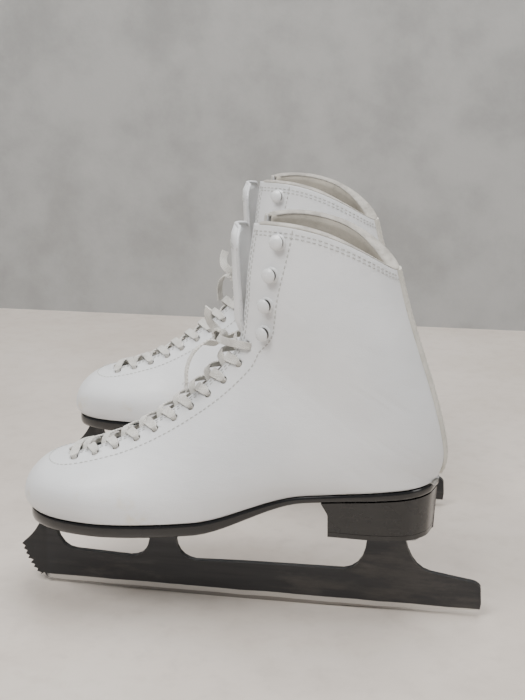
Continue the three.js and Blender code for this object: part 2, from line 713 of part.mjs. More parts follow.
function backstay() {
  const around = [1 - BACKSTAY_REACH, 1, -1 + BACKSTAY_REACH];
  const us = sectionsFrom(HEEL_SECTION + 0.5, COLLAR_SECTION);
  return layerOfBoot(-CLEARANCE - BACKSTAY_THICKNESS, BACKSTAY_THICKNESS, us, [around]);
}

// ---- Tongue -------------------------------------------------------------------------------

const TONGUE_DEPTH = UPPER_THICKNESS + LACE_DIAMETER + LACE_ROOM;

const tongue = () =>
  layerOfBoot(TONGUE_DEPTH, TONGUE_THICKNESS, range(5.3, TONGUE_FOLD_SECTION, 9), [range(-0.3, 0.3, 6)]);

// The loose top of the tongue stands between the facings, a little in front of them.
const FOLD_HEIGHT = above(121.8);
const TONGUE_TOP_HEIGHT = above(184.5);
const TONGUE_FRONT = along(-5.5);
const TONGUE_CURVE = 4;
const TONGUE_ROOT = 4; // extra thickness at the fold, where the top meets the fixed tongue
const ROOT_SLOPE = 0.24;

function tongueTop() {
  const bottom = FOLD_HEIGHT;
  const sectionAt = (z) => {
    const t = (z - above(124)) / (above(187) - above(124));
    return 13 + 7 * Math.min(Math.max(t, 0), 1);
  };
  const place = (thickness) => (t, a) => {
    const root = Math.max(1 - t / 0.2, 0) * (thickness > 0 ? 1 : 0);
    const depth = thickness + TONGUE_ROOT * root;
    const z = bottom + (TONGUE_TOP_HEIGHT - bottom) * t - ROOT_SLOPE * depth * root;
    const corner = t > 0.9 ? Math.sqrt(1 - ((t - 0.9) / 0.1) ** 2 * 0.5) : 1;
    const half = (throatHalf(sectionAt(Math.max(z, bottom))) - TONGUE_OPENING_GAP) * corner;
    const x = TONGUE_FRONT + 2 * (1 - t) + TONGUE_CURVE * a * a + depth;
    return new THREE.Vector3(x, a * half, z);
  };
  const ts = [0, 0.1, 0.2, 0.4, 0.6, 0.8, 0.9, 0.96, 1];
  return slab(place(0), place(TONGUE_TOP_THICKNESS), ts, range(-1, 1, 6));
}

// ---- Lacing -------------------------------------------------------------------------------

const hookNeck = HOOK_HEAD * 0.36;

function hookAt(u, side) {
  const a = aroundTo(u, side, throatHalf(u) + HOOK_FROM_EDGE);
  const outline = [
    [0, 0],
    [HOOK_HEAD * 0.54, 0],
    [HOOK_HEAD * 0.54, 0.7],
    [hookNeck / 2 + 0.4, 1],
    [hookNeck / 2, 2.6],
    [HOOK_HEAD / 2, 3],
    [HOOK_HEAD * 0.44, 4.4],
    [HOOK_HEAD * 0.2, 5.3],
    [0, 5.5],
  ];
  return turned(outline, bootAt(u, a, -CLEARANCE / 2), bootNormal(u, a), 9);
}

// A curve that is taken point by point, so that each step of an extrusion ends on a point.
class Waypoints extends THREE.CatmullRomCurve3 {
  getPointAt(t) {
    return this.getPoint(t);
  }

  getTangentAt(t) {
    return this.getTangent(t);
  }

  getSpacedPoints(steps) {
    return this.getPoints(steps);
  }
}

const LACE_OVER = -2.5; // depth of the lace's middle where it lies on the leather
const LACE_UNDER = UPPER_THICKNESS + LACE_DIAMETER / 2 + CLEARANCE; // and under it
const LACE_ARCH = 0.62; // rise of the upper strand where it crosses, as a share of the half gap
const LACE_CROSS_LOW = 3.4;

// The lace's way from one eyelet, under the facing, across the throat and down through the
// next eyelet on the other side. The strand from the outer side lies on top.
function laceCrossing(k, side) {
  const from = EYELET_SECTIONS[k];
  const to = EYELET_SECTIONS[k + 1];
  const at = (t) => from + (to - from) * t;
  const edge = (t, way) => aroundTo(at(t), way, throatHalf(at(t)) - 1);
  const points = [bootAt(from, eyeletAround(from, side), LACE_UNDER)];
  if (side < 0) {
    points.push(bootAt(at(0.25), edge(0.25, side), LACE_UNDER), bootAt(at(0.5), 0, -LACE_ARCH * throatHalf(at(0.5))));
  } else {
    points.push(bootAt(at(0.5), 0, LACE_CROSS_LOW), bootAt(at(0.75), edge(0.75, -side), LACE_OVER));
  }
  points.push(bootAt(to, eyeletAround(to, -side), LACE_OVER));
  return points;
}

// The last crossing stays under the facings and comes out through the top eyelet.
function lastCrossing(side) {
  const from = EYELET_SECTIONS[EYELETS - 2];
  const to = EYELET_SECTIONS[EYELETS - 1];
  const middle = (from + to) / 2;
  return [
    bootAt(from, eyeletAround(from, side), LACE_UNDER),
    bootAt(middle, 0, side < 0 ? 0.2 : LACE_UNDER),
    bootAt(to, eyeletAround(to, -side), LACE_UNDER),
    bootAt(to, eyeletAround(to, -side), LACE_OVER - 0.4),
  ];
}

// The two ends, from the knot in front of the ankle. The places are steps forward of the knot,
// towards the inner side of the foot, and up.
const KNOT_SECTION = 11.7;
const KNOT_DEPTH = -5.5;
const LACE_ENDS = {
  outer: [[0, -7, 1], [2, 1.5, 2.5], [5, 5, 9], [9, 5, 17], [13, 2, 24], [18, 0, 29]],
  inner: [[0, 7, -1], [3.5, -2, -2.5], [9, -8, -1], [15, -13, -6], [18, -17, -14], [18, -19, -23]],
};

function laceEnd(name) {
  const knot = bootAt(KNOT_SECTION, 0, KNOT_DEPTH);
  return LACE_ENDS[name].map(([forward, inward, up]) => knot.clone().add(new THREE.Vector3(-forward, inward, up)));
}

// One run of lace, from its middle over the toe end to one end at the knot.
function laceRun(side) {
  const points = [bootAt(EYELET_SECTIONS[0], eyeletAround(EYELET_SECTIONS[0], side), LACE_OVER)];
  let at = side;
  for (let k = 0; k < EYELETS - 2; k++) {
    points.push(...laceCrossing(k, at));
    at = -at;
  }
  points.push(...lastCrossing(at));
  return [...points, ...laceEnd(at > 0 ? "outer" : "inner")];
}

function lace() {
  const middle = bootAt(EYELET_SECTIONS[0], 0, -LACE_ARCH * THROAT_HALF_FOOT);
  const points = [...laceRun(-1).reverse(), middle, ...laceRun(1)];
  const round = new THREE.Shape().absarc(0, 0, LACE_DIAMETER / 2, 0, Math.PI * 2, false);
  const section = new THREE.Shape(round.getPoints(4).slice(0, 8));
  const path = new Waypoints(points, false, "catmullrom", 0.5);
  return new THREE.ExtrudeGeometry(section, { steps: points.length - 1, extrudePath: path, bevelEnabled: false });
}

// ---- Assembly -----------------------------------------------------------------------------

const finish = (color, roughness, metalness) => ({ color, roughness, metalness });
const WHITE_LEATHER = finish(0xe9ebec, 0.45, 0);
const INNER_LEATHER = finish(0xcfc6b6, 0.8, 0);
const STRIP_LEATHER = finish(0xd8d3c8, 0.7, 0);
const BOARD = finish(0xa08a6c, 0.85, 0);
const FELT = finish(0xb9b2a6, 0.95, 0);
const BLACK_LACQUER = finish(0x0c0c0e, 0.2, 0);
const BLADE_STEEL = finish(0x4c4a49, 0.4, 1);
const PLATE_STEEL = finish(0x77777a, 0.35, 1);
const ENAMEL = finish(0xf2f3f4, 0.25, 0);
const WOVEN = finish(0xe2e0da, 0.9, 0);

function pieces() {
  const list = [
    ["runner", runner(), BLADE_STEEL],
    ["sole_plate", solePlate(), PLATE_STEEL],
    ["heel_plate", heelPlate(), PLATE_STEEL],
    ["outsole", outsole(), BLACK_LACQUER],
    ["heel", heel(), BLACK_LACQUER],
    ["heel_lift", heelLift(), BLACK_LACQUER],
    ["shank", shank(), PLATE_STEEL],
    ["insole", insole(), BOARD],
    ["footbed", footbed(), FELT],
    ["upper", upper(), WHITE_LEATHER],
    ["heel_counter", heelCounter(), BOARD],
    ["lining", lining(), INNER_LEATHER],
    ["backstay", backstay(), STRIP_LEATHER],
    ["tongue", tongue(), WHITE_LEATHER],
    ["tongue_top", tongueTop(), WHITE_LEATHER],
    ["lace", lace(), WOVEN],
  ];
  SOLE_SCREWS.forEach((screw, i) => {
    list.push([`sole_screw_${i + 1}`, screwAt(screw, plateUnder(screw[0]), treadUp), PLATE_STEEL]);
  });
  HEEL_SCREWS.forEach((screw, i) => {
    list.push([`heel_screw_${i + 1}`, screwAt(screw, heelPlateUnder, upright), PLATE_STEEL]);
  });
  for (const [way, side] of [["outer", -1], ["inner", 1]]) {
    HOOK_SECTIONS.slice(0, HOOKS).forEach((u, i) => {
      list.push([`hook_${way}_${i + 1}`, hookAt(u, side), ENAMEL]);
    });
  }
  return list;
}

// The left skate is drawn; the right one is its mirror image.
function mirrored(geometry) {
  const flipped = bare(geometry);
  const places = flipped.getAttribute("position");
  const corner = (i) => new THREE.Vector3().fromBufferAttribute(places, i);
  for (let i = 0; i < places.count; i += 3) {
    const [p, q, r] = [corner(i), corner(i + 1), corner(i + 2)];
    [p, r, q].forEach(({ x, y, z }, k) => places.setXYZ(i + k, x, -y, z));
  }
  return flipped;
}

function skate(name, shape) {
  const group = new THREE.Group();
  for (const [piece, geometry, look] of pieces()) {
    const mesh = new THREE.Mesh(shape(bare(geometry)), new THREE.MeshStandardMaterial(look));
    mesh.geometry.computeVertexNormals();
    mesh.name = `${name}_${piece}`;
    group.add(mesh);
  }
  return group;
}

const left = skate("left", (geometry) => geometry);
left.position.set(0, -PAIR_SPACING / 2, 0);
const right = skate("right", mirrored);
right.position.set(-RIGHT_FORWARD, PAIR_SPACING / 2, 0);
right.rotation.z = THREE.MathUtils.degToRad(-RIGHT_TURN);

// The origin is the middle of the pair's box, on the ground.
const pair = new THREE.Group();
pair.add(left, right);
pair.updateMatrixWorld(true);
const box = new THREE.Box3().setFromObject(pair, true);
pair.position.set(-(box.min.x + box.max.x) / 2, -(box.min.y + box.max.y) / 2, -box.min.z);

export default pair;
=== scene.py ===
"""A pair of laced white leather figure skates: the looks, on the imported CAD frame.

The boot is drawn in millimetres in the left skate's own space, toes towards -X and +Z up from
the ice. `Skate.place` takes a point of it to the row frame, in metres, for either foot.
"""

import math

import bmesh
import bpy
from mathutils import Matrix, Vector, noise


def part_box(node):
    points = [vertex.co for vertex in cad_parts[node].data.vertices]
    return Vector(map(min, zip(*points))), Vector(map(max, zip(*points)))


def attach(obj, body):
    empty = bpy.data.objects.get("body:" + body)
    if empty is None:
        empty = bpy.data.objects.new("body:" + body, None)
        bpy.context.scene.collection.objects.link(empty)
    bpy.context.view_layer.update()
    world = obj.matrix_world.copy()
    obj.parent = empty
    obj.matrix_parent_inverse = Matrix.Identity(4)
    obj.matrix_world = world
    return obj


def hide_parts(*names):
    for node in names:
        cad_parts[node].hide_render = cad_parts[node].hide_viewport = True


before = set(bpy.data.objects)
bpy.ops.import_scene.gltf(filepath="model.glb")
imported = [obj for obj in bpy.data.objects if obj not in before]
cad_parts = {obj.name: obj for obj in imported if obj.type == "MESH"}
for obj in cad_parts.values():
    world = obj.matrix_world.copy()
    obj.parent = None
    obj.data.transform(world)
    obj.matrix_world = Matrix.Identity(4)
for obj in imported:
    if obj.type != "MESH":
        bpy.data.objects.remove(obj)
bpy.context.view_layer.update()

MM = 0.001

# ---- Driving dimensions, millimetres: the same values as the CAD ----------------------------

LAYER_GAP = 0.6
UPPER_THICKNESS = 2.6
COUNTER_THICKNESS = 1.5
LINING_THICKNESS = 1.6
LINING_DEPTH = UPPER_THICKNESS + COUNTER_THICKNESS + 2 * LAYER_GAP
SOLE_LIP = 1.0
FOREFOOT_SLOPE = 0.07
FOREFOOT_SOLE = 8.0
SHANK_SOLE = 4.3
HEEL_SEAT_SOLE = 6.0
TREAD_HEIGHT = 51.0
HEEL_HEIGHT = 56.0
HEEL_LIFT = 3.0
HEEL_TAPER = 1.5
HEEL_RAKE = 4.0
HEEL_FRONT_SECTION = 9.75
THROAT_HALF_FOOT = 8.5
THROAT_HALF_COLLAR = 19.0
TOE_SWING = 4.0
INSIDE_SHARE = 0.93

BLADE_TIP = -143.5
BLADE_TAIL = 146.5
RIGHT_TURN = math.radians(3.3)

EYELETS = 11
EYELET_HOLE = 4.6
EYELET_FROM_EDGE = 8.5
HOOK_SECTIONS = (15.1, 16.7, 18.1, 19.4)
HOOK_FROM_EDGE = 20.0

TONGUE_FOLD_HEIGHT = TREAD_HEIGHT + 121.8
TONGUE_TOP_HEIGHT = TREAD_HEIGHT + 184.5
TONGUE_FRONT = -5.5
TONGUE_THICKNESS = 5.0
TONGUE_GAP = 0.8

LACE_WIDTH = 5.6
LACE_THICKNESS = 1.1
LACE_OVER = -1.5
LACE_UNDER = 4.2
LACE_ARCH = 0.25
LACE_CROSS_LOW = 3.4
KNOT_SECTION = 11.7
KNOT_DEPTH = -5.5
LACE_ENDS = {
    "outer": ((0, -7, 1), (2, 1.5, 2.5), (5.5, 4, 5), (8.5, 4, 8.5), (9.5, 2, 13), (8.5, 0, 18)),
    "inner": ((0, 7, -1), (3.5, -2, -2.5), (9, -8, -1), (15, -13, -6), (18, -17, -14), (18, -19, -23)),
}

# Sections through the boot, from the toe to the collar: top x, top z, base x, base z (None on
# the sole), widest half, half at the base, level of the widest place, roundness above it.
SECTIONS = (
    (-134.5, 7.6, -134.5, None, 0, 0, 0.3, 2.4),
    (-137.0, 12, -132, None, 12, 11, 0.3, 2.3),
    (-136.5, 19, -126, None, 21.5, 20, 0.3, 2.3),
    (-132.5, 28, -114, None, 30.5, 29, 0.3, 2.3),
    (-124, 35.5, -97, None, 37.5, 36, 0.3, 2.25),
    (-110, 40.5, -76, None, 42, 40.5, 0.3, 2.2),
    (-92, 46, -50, None, 42.5, 40.5, 0.3, 2.05),
    (-73, 54.5, -22, None, 40.5, 36.5, 0.3, 1.9),
    (-54, 66, 6, None, 37.5, 30, 0.32, 1.85),
    (-36, 80, 32, None, 35.5, 26.5, 0.34, 1.85),
    (-21, 94, 58, None, 34, 26.5, 0.36, 1.9),
    (-11, 106, 82, None, 33, 27, 0.38, 1.95),
    (-5, 116, 102, None, 32.5, 23.5, 0.35, 2),
    (-3, 124, 113, None, 32.3, 14, 0.32, 2.05),
    (-2, 131, 117.5, None, 32.3, 0, 0.32, 2.1),
    (-1, 139, 121.5, 50, 32.8, 0, 0.36, 2.15),
    (0.5, 148, 119.5, 66, 33.8, 0, 0.4, 2.2),
    (1.5, 158, 113, 90, 34.6, 0, 0.43, 2.25),
    (2.5, 168, 105, 114, 34, 0, 0.44, 2.3),
    (3.5, 178, 97, 139, 32.2, 0, 0.45, 2.35),
    (4.5, 187, 91, 162, 30.5, 0, 0.45, 2.4),
)
HEEL_SECTION = 14
COLLAR_SECTION = len(SECTIONS) - 1
COLLAR_BOW = 11.0
BOW_START = 16
THROAT_SECTION = 5.05
FIRST_EYELET = 5.45
LAST_EYELET = 13.0
LOWER_PART = 0.42


# ---- The boot's surface ---------------------------------------------------------------------


def spread(low, high, steps):
    """Numbers in equal steps from low to high, both included."""
    return [low + (high - low) * i / steps for i in range(steps + 1)]


def hermite(p0, m0, p1, m1, t):
    t2, t3 = t * t, t * t * t
    return (2 * t3 - 3 * t2 + 1) * p0 + (t3 - 2 * t2 + t) * m0 + (3 * t2 - 2 * t3) * p1 + (t3 - t2) * m1


def profile(knots, x):
    """A smooth curve through knots of x, value and slope, straight outside them."""
    if x <= knots[0][0]:
        return knots[0][1] + (x - knots[0][0]) * knots[0][2]
    if x >= knots[-1][0]:
        return knots[-1][1] + (x - knots[-1][0]) * knots[-1][2]
    i = next(k for k, knot in enumerate(knots) if x < knot[0]) - 1
    a, b = knots[i], knots[i + 1]
    width = b[0] - a[0]
    return hermite(a[1], a[2] * width, b[1], b[2] * width, (x - a[0]) / width)


BALL_X, TREAD_END, SEAT_FRONT, SEAT_BACK = -81.0, -24.0, 42.0, 118.0


def tread_at(x):
    return TREAD_HEIGHT + (x - BALL_X) * FOREFOOT_SLOPE


SOLE_LINE = (
    (TREAD_END, tread_at(TREAD_END), FOREFOOT_SLOPE),
    (SEAT_FRONT, TREAD_HEIGHT + 25.3, 0.12),
    (SEAT_BACK, TREAD_HEIGHT + 32, 0.07),
)
SOLE_DEPTH = ((TREAD_END, FOREFOOT_SOLE, 0), (SEAT_FRONT, SHANK_SOLE, 0), (SEAT_BACK, HEEL_SEAT_SOLE, 0))


def sole_bottom(x):
    return profile(SOLE_LINE, x)


def sole_top(x):
    return sole_bottom(x) + profile(SOLE_DEPTH, x)


def section_value(k, index):
    row = SECTIONS[k]
    if index != 3:
        return row[index]
    return sole_top(row[2]) + LAYER_GAP if row[3] is None else TREAD_HEIGHT + row[3]


def column(index, u):
    """One column of SECTIONS at a section number that need not be whole."""
    last = len(SECTIONS) - 1
    at = min(max(u, 0), last)
    i = min(int(at), last - 1)
    a, b, c, d = (section_value(min(max(k, 0), last), index) for k in (i - 1, i, i + 1, i + 2))
    slope_b = c - b if i == 0 else (c - a) / 2
    slope_c = c - b if i == last - 1 else (d - b) / 2
    return hermite(b, slope_b, c, slope_c, at - i)


def inside_share(u):
    return 1 - (1 - INSIDE_SHARE) * math.exp(-(((u - 5.5) / 3.5) ** 2))


def swing(u):
    return TOE_SWING * (1 - u / 6) ** 2 if u < 6 else 0


def boot_surface(u, a):
    """A point of the boot's outside: a is -1 at the outer base, 0 in front and 1 at the inner base."""
    top = Vector((column(0, u), TREAD_HEIGHT + column(1, u)))
    base = Vector((column(2, u), column(3, u)))
    widest = column(4, u)
    at_base = 0 if u > HEEL_SECTION else max(column(5, u), 0)
    level, rounding = column(6, u), column(7, u)
    v = 1 - abs(a)
    if v < LOWER_PART:
        t = v / LOWER_PART
        flare = 1 - (at_base / widest) ** 2 if widest > 0 else 0
        r = (1 - flare) * (1 - t) + flare * math.cos(t * math.pi / 2)
        g = level * (1 - r)
        half = widest * math.sqrt(max(1 - flare * r * r, 0))
    else:
        angle = (v - LOWER_PART) / (1 - LOWER_PART) * math.pi / 2
        g = level + (1 - level) * max(math.sin(angle), 0) ** (2 / rounding)
        half = widest * max(math.cos(angle), 0) ** (2 / rounding)
    rise = max(u - BOW_START, 0) / (COLLAR_SECTION - BOW_START)
    bow = COLLAR_BOW * rise**2 * 4 * g * (1 - g)
    upwards = Vector((base.y - top.y, base.x - top.x)).normalized()
    place = base.lerp(top, g) + Vector((-upwards.x, upwards.y)) * bow
    share = inside_share(u) if a > 0 else 1
    sign = (a > 0) - (a < 0)
    return Vector((place.x, sign * share * half + swing(u), place.y))


def boot_normal(u, a):
    step = 0.01
    at_u = min(max(u, 0.05), COLLAR_SECTION - step)
    at_a = min(max(a, -1 + step), 1 - step)
    along_u = boot_surface(at_u + step, at_a) - boot_surface(at_u - step, at_a)
    along_a = boot_surface(at_u, at_a + step) - boot_surface(at_u, at_a - step)
    normal = along_u.cross(along_a)
    if abs(a) > 1 - 1e-6 and u > HEEL_SECTION - 1e-6:
        normal.y = 0
    if u < 1e-6:
        normal = Vector((-1, 0, 0))
    return normal.normalized()


def boot_at(u, a, depth):
    """The boot's surface moved inwards by a depth. Its rim stays on the sole."""
    point = boot_surface(u, a) - boot_normal(u, a) * depth
    if abs(a) > 1 - 1e-6 and u < HEEL_SECTION + 1e-6:
        point.z = sole_top(point.x) + LAYER_GAP
    return point


def around_to(u, side, distance):
    """How far round from the front centre line, as a value of a, a distance along the leather is."""
    step = 0.006
    a = walked = 0.0
    last = boot_surface(u, 0)
    while walked < distance and a < 1 - step:
        a += step
        following = boot_surface(u, side * a)
        part = (following - last).length
        walked += part
        last = following
    over = (walked - distance) / part if walked > distance and part > 0 else 0
    return side * (a - over * step)


def throat_half(u):
    up = min(max((u - 8) / (COLLAR_SECTION - 8), 0), 1)
    opening = THROAT_HALF_FOOT + (THROAT_HALF_COLLAR - THROAT_HALF_FOOT) * up
    start = min(max((u - THROAT_SECTION) / 0.4, 0), 1)
    return opening * math.sqrt(1 - (1 - start) ** 2)


def eyelet_sections():
    """Section numbers that part the front line into equal steps from the first to the last eyelet."""
    fine = spread(FIRST_EYELET, LAST_EYELET, 200)
    lengths = [0.0]
    for before, after in zip(fine, fine[1:]):
        lengths.append(lengths[-1] + (boot_surface(after, 0) - boot_surface(before, 0)).length)
    wanted = spread(0, lengths[-1], EYELETS - 1)
    return [fine[next(i for i, s in enumerate(lengths) if s >= w - 1e-9)] for w in wanted]


EYELET_SECTIONS = eyelet_sections()


def eyelet_around(u, side):
    return around_to(u, side, throat_half(u) + EYELET_FROM_EDGE)


def rim(u, side, outset):
    """The sole's outline seen from above, moved outwards by an outset."""

    def point(at):
        half = max(column(5, at), 0) * (inside_share(at) if side > 0 else 1)
        return Vector((column(2, at), side * half + swing(at)))

    low, high = max(u - 0.01, 0), min(u + 0.01, HEEL_SECTION)
    tangent = (point(high) - point(low)).normalized()
    return point(u) + Vector((-tangent.y, tangent.x)) * side * outset


# ---- The two feet ---------------------------------------------------------------------------


class Skate:
    """One skate of the pair: its bodies, and the way from the drawing to the row frame."""

    def __init__(self, name, mirror, turn):
        self.name = name
        self.mirror = mirror
        low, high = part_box(f"{name}_runner")
        middle = (Vector(low) + Vector(high)) / 2
        self.turn = Matrix.Rotation(turn, 4, "Z")
        blade_middle = self.turn @ Vector(((BLADE_TIP + BLADE_TAIL) / 2 * MM, 0, 0))
        self.shift = Vector((middle.x - blade_middle.x, middle.y - blade_middle.y, 0))

    def place(self, point):
        flipped = Vector((point.x, -point.y if self.mirror else point.y, point.z)) * MM
        return self.turn @ flipped + self.shift

    def body(self, part="skate"):
        return f"{self.name}_{part}"

    def node(self, piece):
        return f"{self.name}_{piece}"


SKATES = (Skate("left", False, 0), Skate("right", True, -RIGHT_TURN))


class Shape:
    """Points and faces of one piece in the left skate's own space, with a map and material slots."""

    def __init__(self):
        self.points = []
        self.faces = []
        self.maps = []
        self.slots = []

    def grid(self, rows, closed=False, slot=0, mapped=None):
        """Faces between rows of points; closed joins each row's end to its start."""
        start = len(self.points)
        width = len(rows[0])
        for row in rows:
            self.points.extend(row)
        for i in range(len(rows) - 1):
            for j in range(width if closed else width - 1):
                k = (j + 1) % width
                a, b = start + i * width + j, start + i * width + k
                c, d = start + (i + 1) * width + k, start + (i + 1) * width + j
                self.faces.append((a, b, c, d))
                self.slots.append(slot)
                if mapped:
                    corners = ((i, j), (i, j + 1), (i + 1, j + 1), (i + 1, j))
                    self.maps.append([mapped(*corner) for corner in corners])
                else:
                    self.maps.append([(0, 0)] * 4)
        return start

    def fan(self, ring, slot=0, flip=False):
        """A cap over a ring of points that are already in the shape."""
        face = tuple(reversed(ring)) if flip else tuple(ring)
        self.faces.append(face)
        self.slots.append(slot)
        self.maps.append([(0, 0)] * len(face))

    def tube(self, rings, slot=0, mapped=None):
        """A closed body through rings of points, with a cap at each end."""
        start = self.grid(rings, closed=True, slot=slot, mapped=mapped)
        width = len(rings[0])
        self.fan(range(start, start + width), slot)
        last = start + (len(rings) - 1) * width
        self.fan(range(last, last + width), slot, flip=True)

    def build(self, name, skate, materials, smooth=True, weld=0.0, angle=40):
        mesh = bpy.data.meshes.new(name)
        mesh.from_pydata([skate.place(p) for p in self.points], [], self.faces)
        layer = mesh.uv_layers.new(name="lie")
        for polygon, corners in zip(mesh.polygons, self.maps):
            for loop, uv in zip(polygon.loop_indices, corners):
                layer.data[loop].uv = uv
        for polygon, slot in zip(mesh.polygons, self.slots):
            polygon.material_index = slot
        tidy_mesh(mesh, weld, smooth, angle)
        for material in materials:
            mesh.materials.append(material)
        piece = bpy.data.objects.new(f"{skate.name}_{name}", mesh)
        bpy.context.scene.collection.objects.link(piece)
        return piece


def tidy_mesh(mesh, weld, smooth, angle):
    """Joins points that coincide, turns every face outwards and marks sharp edges."""
    work = bmesh.new()
    work.from_mesh(mesh)
    if weld > 0:
        bmesh.ops.remove_doubles(work, verts=work.verts, dist=weld * MM)
    bmesh.ops.recalc_face_normals(work, faces=work.faces)
    for face in work.faces:
        face.smooth = smooth
    for edge in work.edges:
        if len(edge.link_faces) == 2:
            edge.smooth = edge.calc_face_angle(0) < math.radians(angle)
    work.to_mesh(mesh)
    work.free()


def bake_modifiers(piece):
    """Applies a piece's modifiers to its mesh."""
    graph = bpy.context.evaluated_depsgraph_get()
    baked = bpy.data.meshes.new_from_object(piece.evaluated_get(graph))
    old = piece.data
    piece.modifiers.clear()
    piece.data = baked
    bpy.data.meshes.remove(old)


def finish_piece(piece, body, slot, *nodes):
    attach(piece, body)
    if nodes:
        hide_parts(*nodes)
    return piece


def add_piece(shape, name, skate, material, slot, angle, part=None, body=None):
    """Builds a shape on one skate. It rides a body and may stand for one CAD part."""
    piece = shape.build(name, skate, [material], angle=angle)
    return finish_piece(piece, body or skate.body(), slot, *([skate.node(part)] if part else []))


def turns(steps):
    return [2 * math.pi * k / steps for k in range(steps)]


def smooth_path(points, steps):
    """Points on a Catmull-Rom curve, a few for each stretch between the given ones."""
    result = []
    for i in range(len(points) - 1):
        a, b = points[max(i - 1, 0)], points[i]
        c, d = points[i + 1], points[min(i + 2, len(points) - 1)]
        for k in range(steps):
            t = k / steps
            result.append(hermite_point(b, (c - a) / 2, c, (d - b) / 2, t))
    result.append(points[-1].copy())
    return result


def hermite_point(p0, m0, p1, m1, t):
    return Vector(hermite(p0[k], m0[k], p1[k], m1[k], t) for k in range(3))


# ---- Materials ------------------------------------------------------------------------------


class Nodes:
    """A material's nodes, made and joined in few words. Places are in metres."""

    def __init__(self, name):
        self.material = bpy.data.materials.new(name)
        self.material.use_nodes = True
        self.tree = self.material.node_tree
        self.shader = self.tree.nodes["Principled BSDF"]
        self.coordinates = self.add("ShaderNodeTexCoord").outputs["Object"]
        self.height = None

    def add(self, kind, **settings):
        node = self.tree.nodes.new(kind)
        for key, value in settings.items():
            setattr(node, key, value)
        return node

    def put(self, value, socket):
        if hasattr(value, "links"):
            self.tree.links.new(value, socket)
        else:
            socket.default_value = value

    def scaled(self, scale, coordinates=None):
        mapping = self.add("ShaderNodeMapping")
        self.put(coordinates or self.coordinates, mapping.inputs["Vector"])
        mapping.inputs["Scale"].default_value = scale
        return mapping.outputs[0]

    def noise(self, scale, detail=4, roughness=0.55, stretch=(1, 1, 1), coordinates=None):
        node = self.add("ShaderNodeTexNoise")
        self.put(self.scaled(stretch, coordinates), node.inputs["Vector"])
        node.inputs["Scale"].default_value = scale
        node.inputs["Detail"].default_value = detail
        node.inputs["Roughness"].default_value = roughness
        return node.outputs["Fac"]

    def cells(self, scale, stretch=(1, 1, 1)):
        node = self.add("ShaderNodeTexVoronoi", feature="DISTANCE_TO_EDGE")
        self.put(self.scaled(stretch), node.inputs["Vector"])
        node.inputs["Scale"].default_value = scale
        return node.outputs["Distance"]

    def ramp(self, value, low, high, start=0.0, end=1.0):
        node = self.add("ShaderNodeMapRange", interpolation_type="SMOOTHSTEP")
        sockets = ("Value", "From Min", "From Max", "To Min", "To Max")
        for socket, given in zip(sockets, (value, low, high, start, end)):
            self.put(given, node.inputs[socket])
        return node.outputs["Result"]

    def mix(self, factor, a, b, blend="MIX"):
        node = self.add("ShaderNodeMix", data_type="RGBA", blend_type=blend)
        self.put(factor, node.inputs["Factor"])
        self.put(a, node.inputs[6])
        self.put(b, node.inputs[7])
        return node.outputs[2]

    def maths(self, operation, a, b=0.0):
        node = self.add("ShaderNodeMath", operation=operation)
        self.put(a, node.inputs[0])
        self.put(b, node.inputs[1])
        return node.outputs[0]

    def parts(self, vector=None):
        node = self.add("ShaderNodeSeparateXYZ")
        self.put(vector or self.coordinates, node.inputs[0])
        return node.outputs

    def bump(self, height, distance, strength=1.0):
        """Adds a bump of so many metres on top of those made before."""
        node = self.add("ShaderNodeBump")
        node.inputs["Strength"].default_value = strength
        node.inputs["Distance"].default_value = distance
        self.put(height, node.inputs["Height"])
        if self.height is not None:
            self.put(self.height, node.inputs["Normal"])
        self.height = node.outputs[0]

    def done(self, color, roughness, metallic=0.0, coat=0.0, sheen=0.0, specular=0.5):
        self.put(color, self.shader.inputs["Base Color"])
        self.put(roughness, self.shader.inputs["Roughness"])
        self.put(metallic, self.shader.inputs["Metallic"])
        self.shader.inputs["Coat Weight"].default_value = coat
        self.shader.inputs["Coat Roughness"].default_value = 0.12
        self.shader.inputs["Sheen Weight"].default_value = sheen
        self.shader.inputs["Specular IOR Level"].default_value = specular
        if self.height is not None:
            self.put(self.height, self.shader.inputs["Normal"])
        return self.material


def white_leather():
    """Smooth finished leather: fine pores, soft creases, a few yellow stains and dark scuffs."""
    n = Nodes("white_leather")
    cloud = n.noise(14, 3)
    tone = n.mix(n.ramp(cloud, 0.35, 0.7), (0.86, 0.87, 0.885, 1), (0.78, 0.795, 0.815, 1))
    z = n.parts()[2]
    low_down = n.ramp(z, 0.10, 0.06)
    stain = n.maths("MULTIPLY", n.ramp(n.noise(34, 4, 0.6), 0.55, 0.70), low_down)
    tone = n.mix(n.maths("MULTIPLY", stain, 0.5), tone, (0.72, 0.64, 0.46, 1))
    scuff = n.ramp(n.noise(60, 8, 0.75, stretch=(0.35, 1, 1.6)), 0.66, 0.74)
    scuff = n.maths("MULTIPLY", scuff, n.ramp(low_down, 0, 1, 0.16, 0.5))
    tone = n.mix(scuff, tone, (0.42, 0.42, 0.42, 1))
    pores = n.cells(1100)
    crease = n.noise(70, 5, 0.6, stretch=(1, 0.7, 2.2))
    n.bump(n.noise(26, 3, 0.5, stretch=(1, 1, 1.7)), 0.0012, 0.4)
    n.bump(crease, 0.0006, 0.5)
    n.bump(n.ramp(pores, 0.0, 0.14), 0.00007, 0.55)
    rough = n.ramp(n.noise(45, 4), 0.3, 0.75, 0.32, 0.5)
    return n.done(tone, rough, coat=0.12)


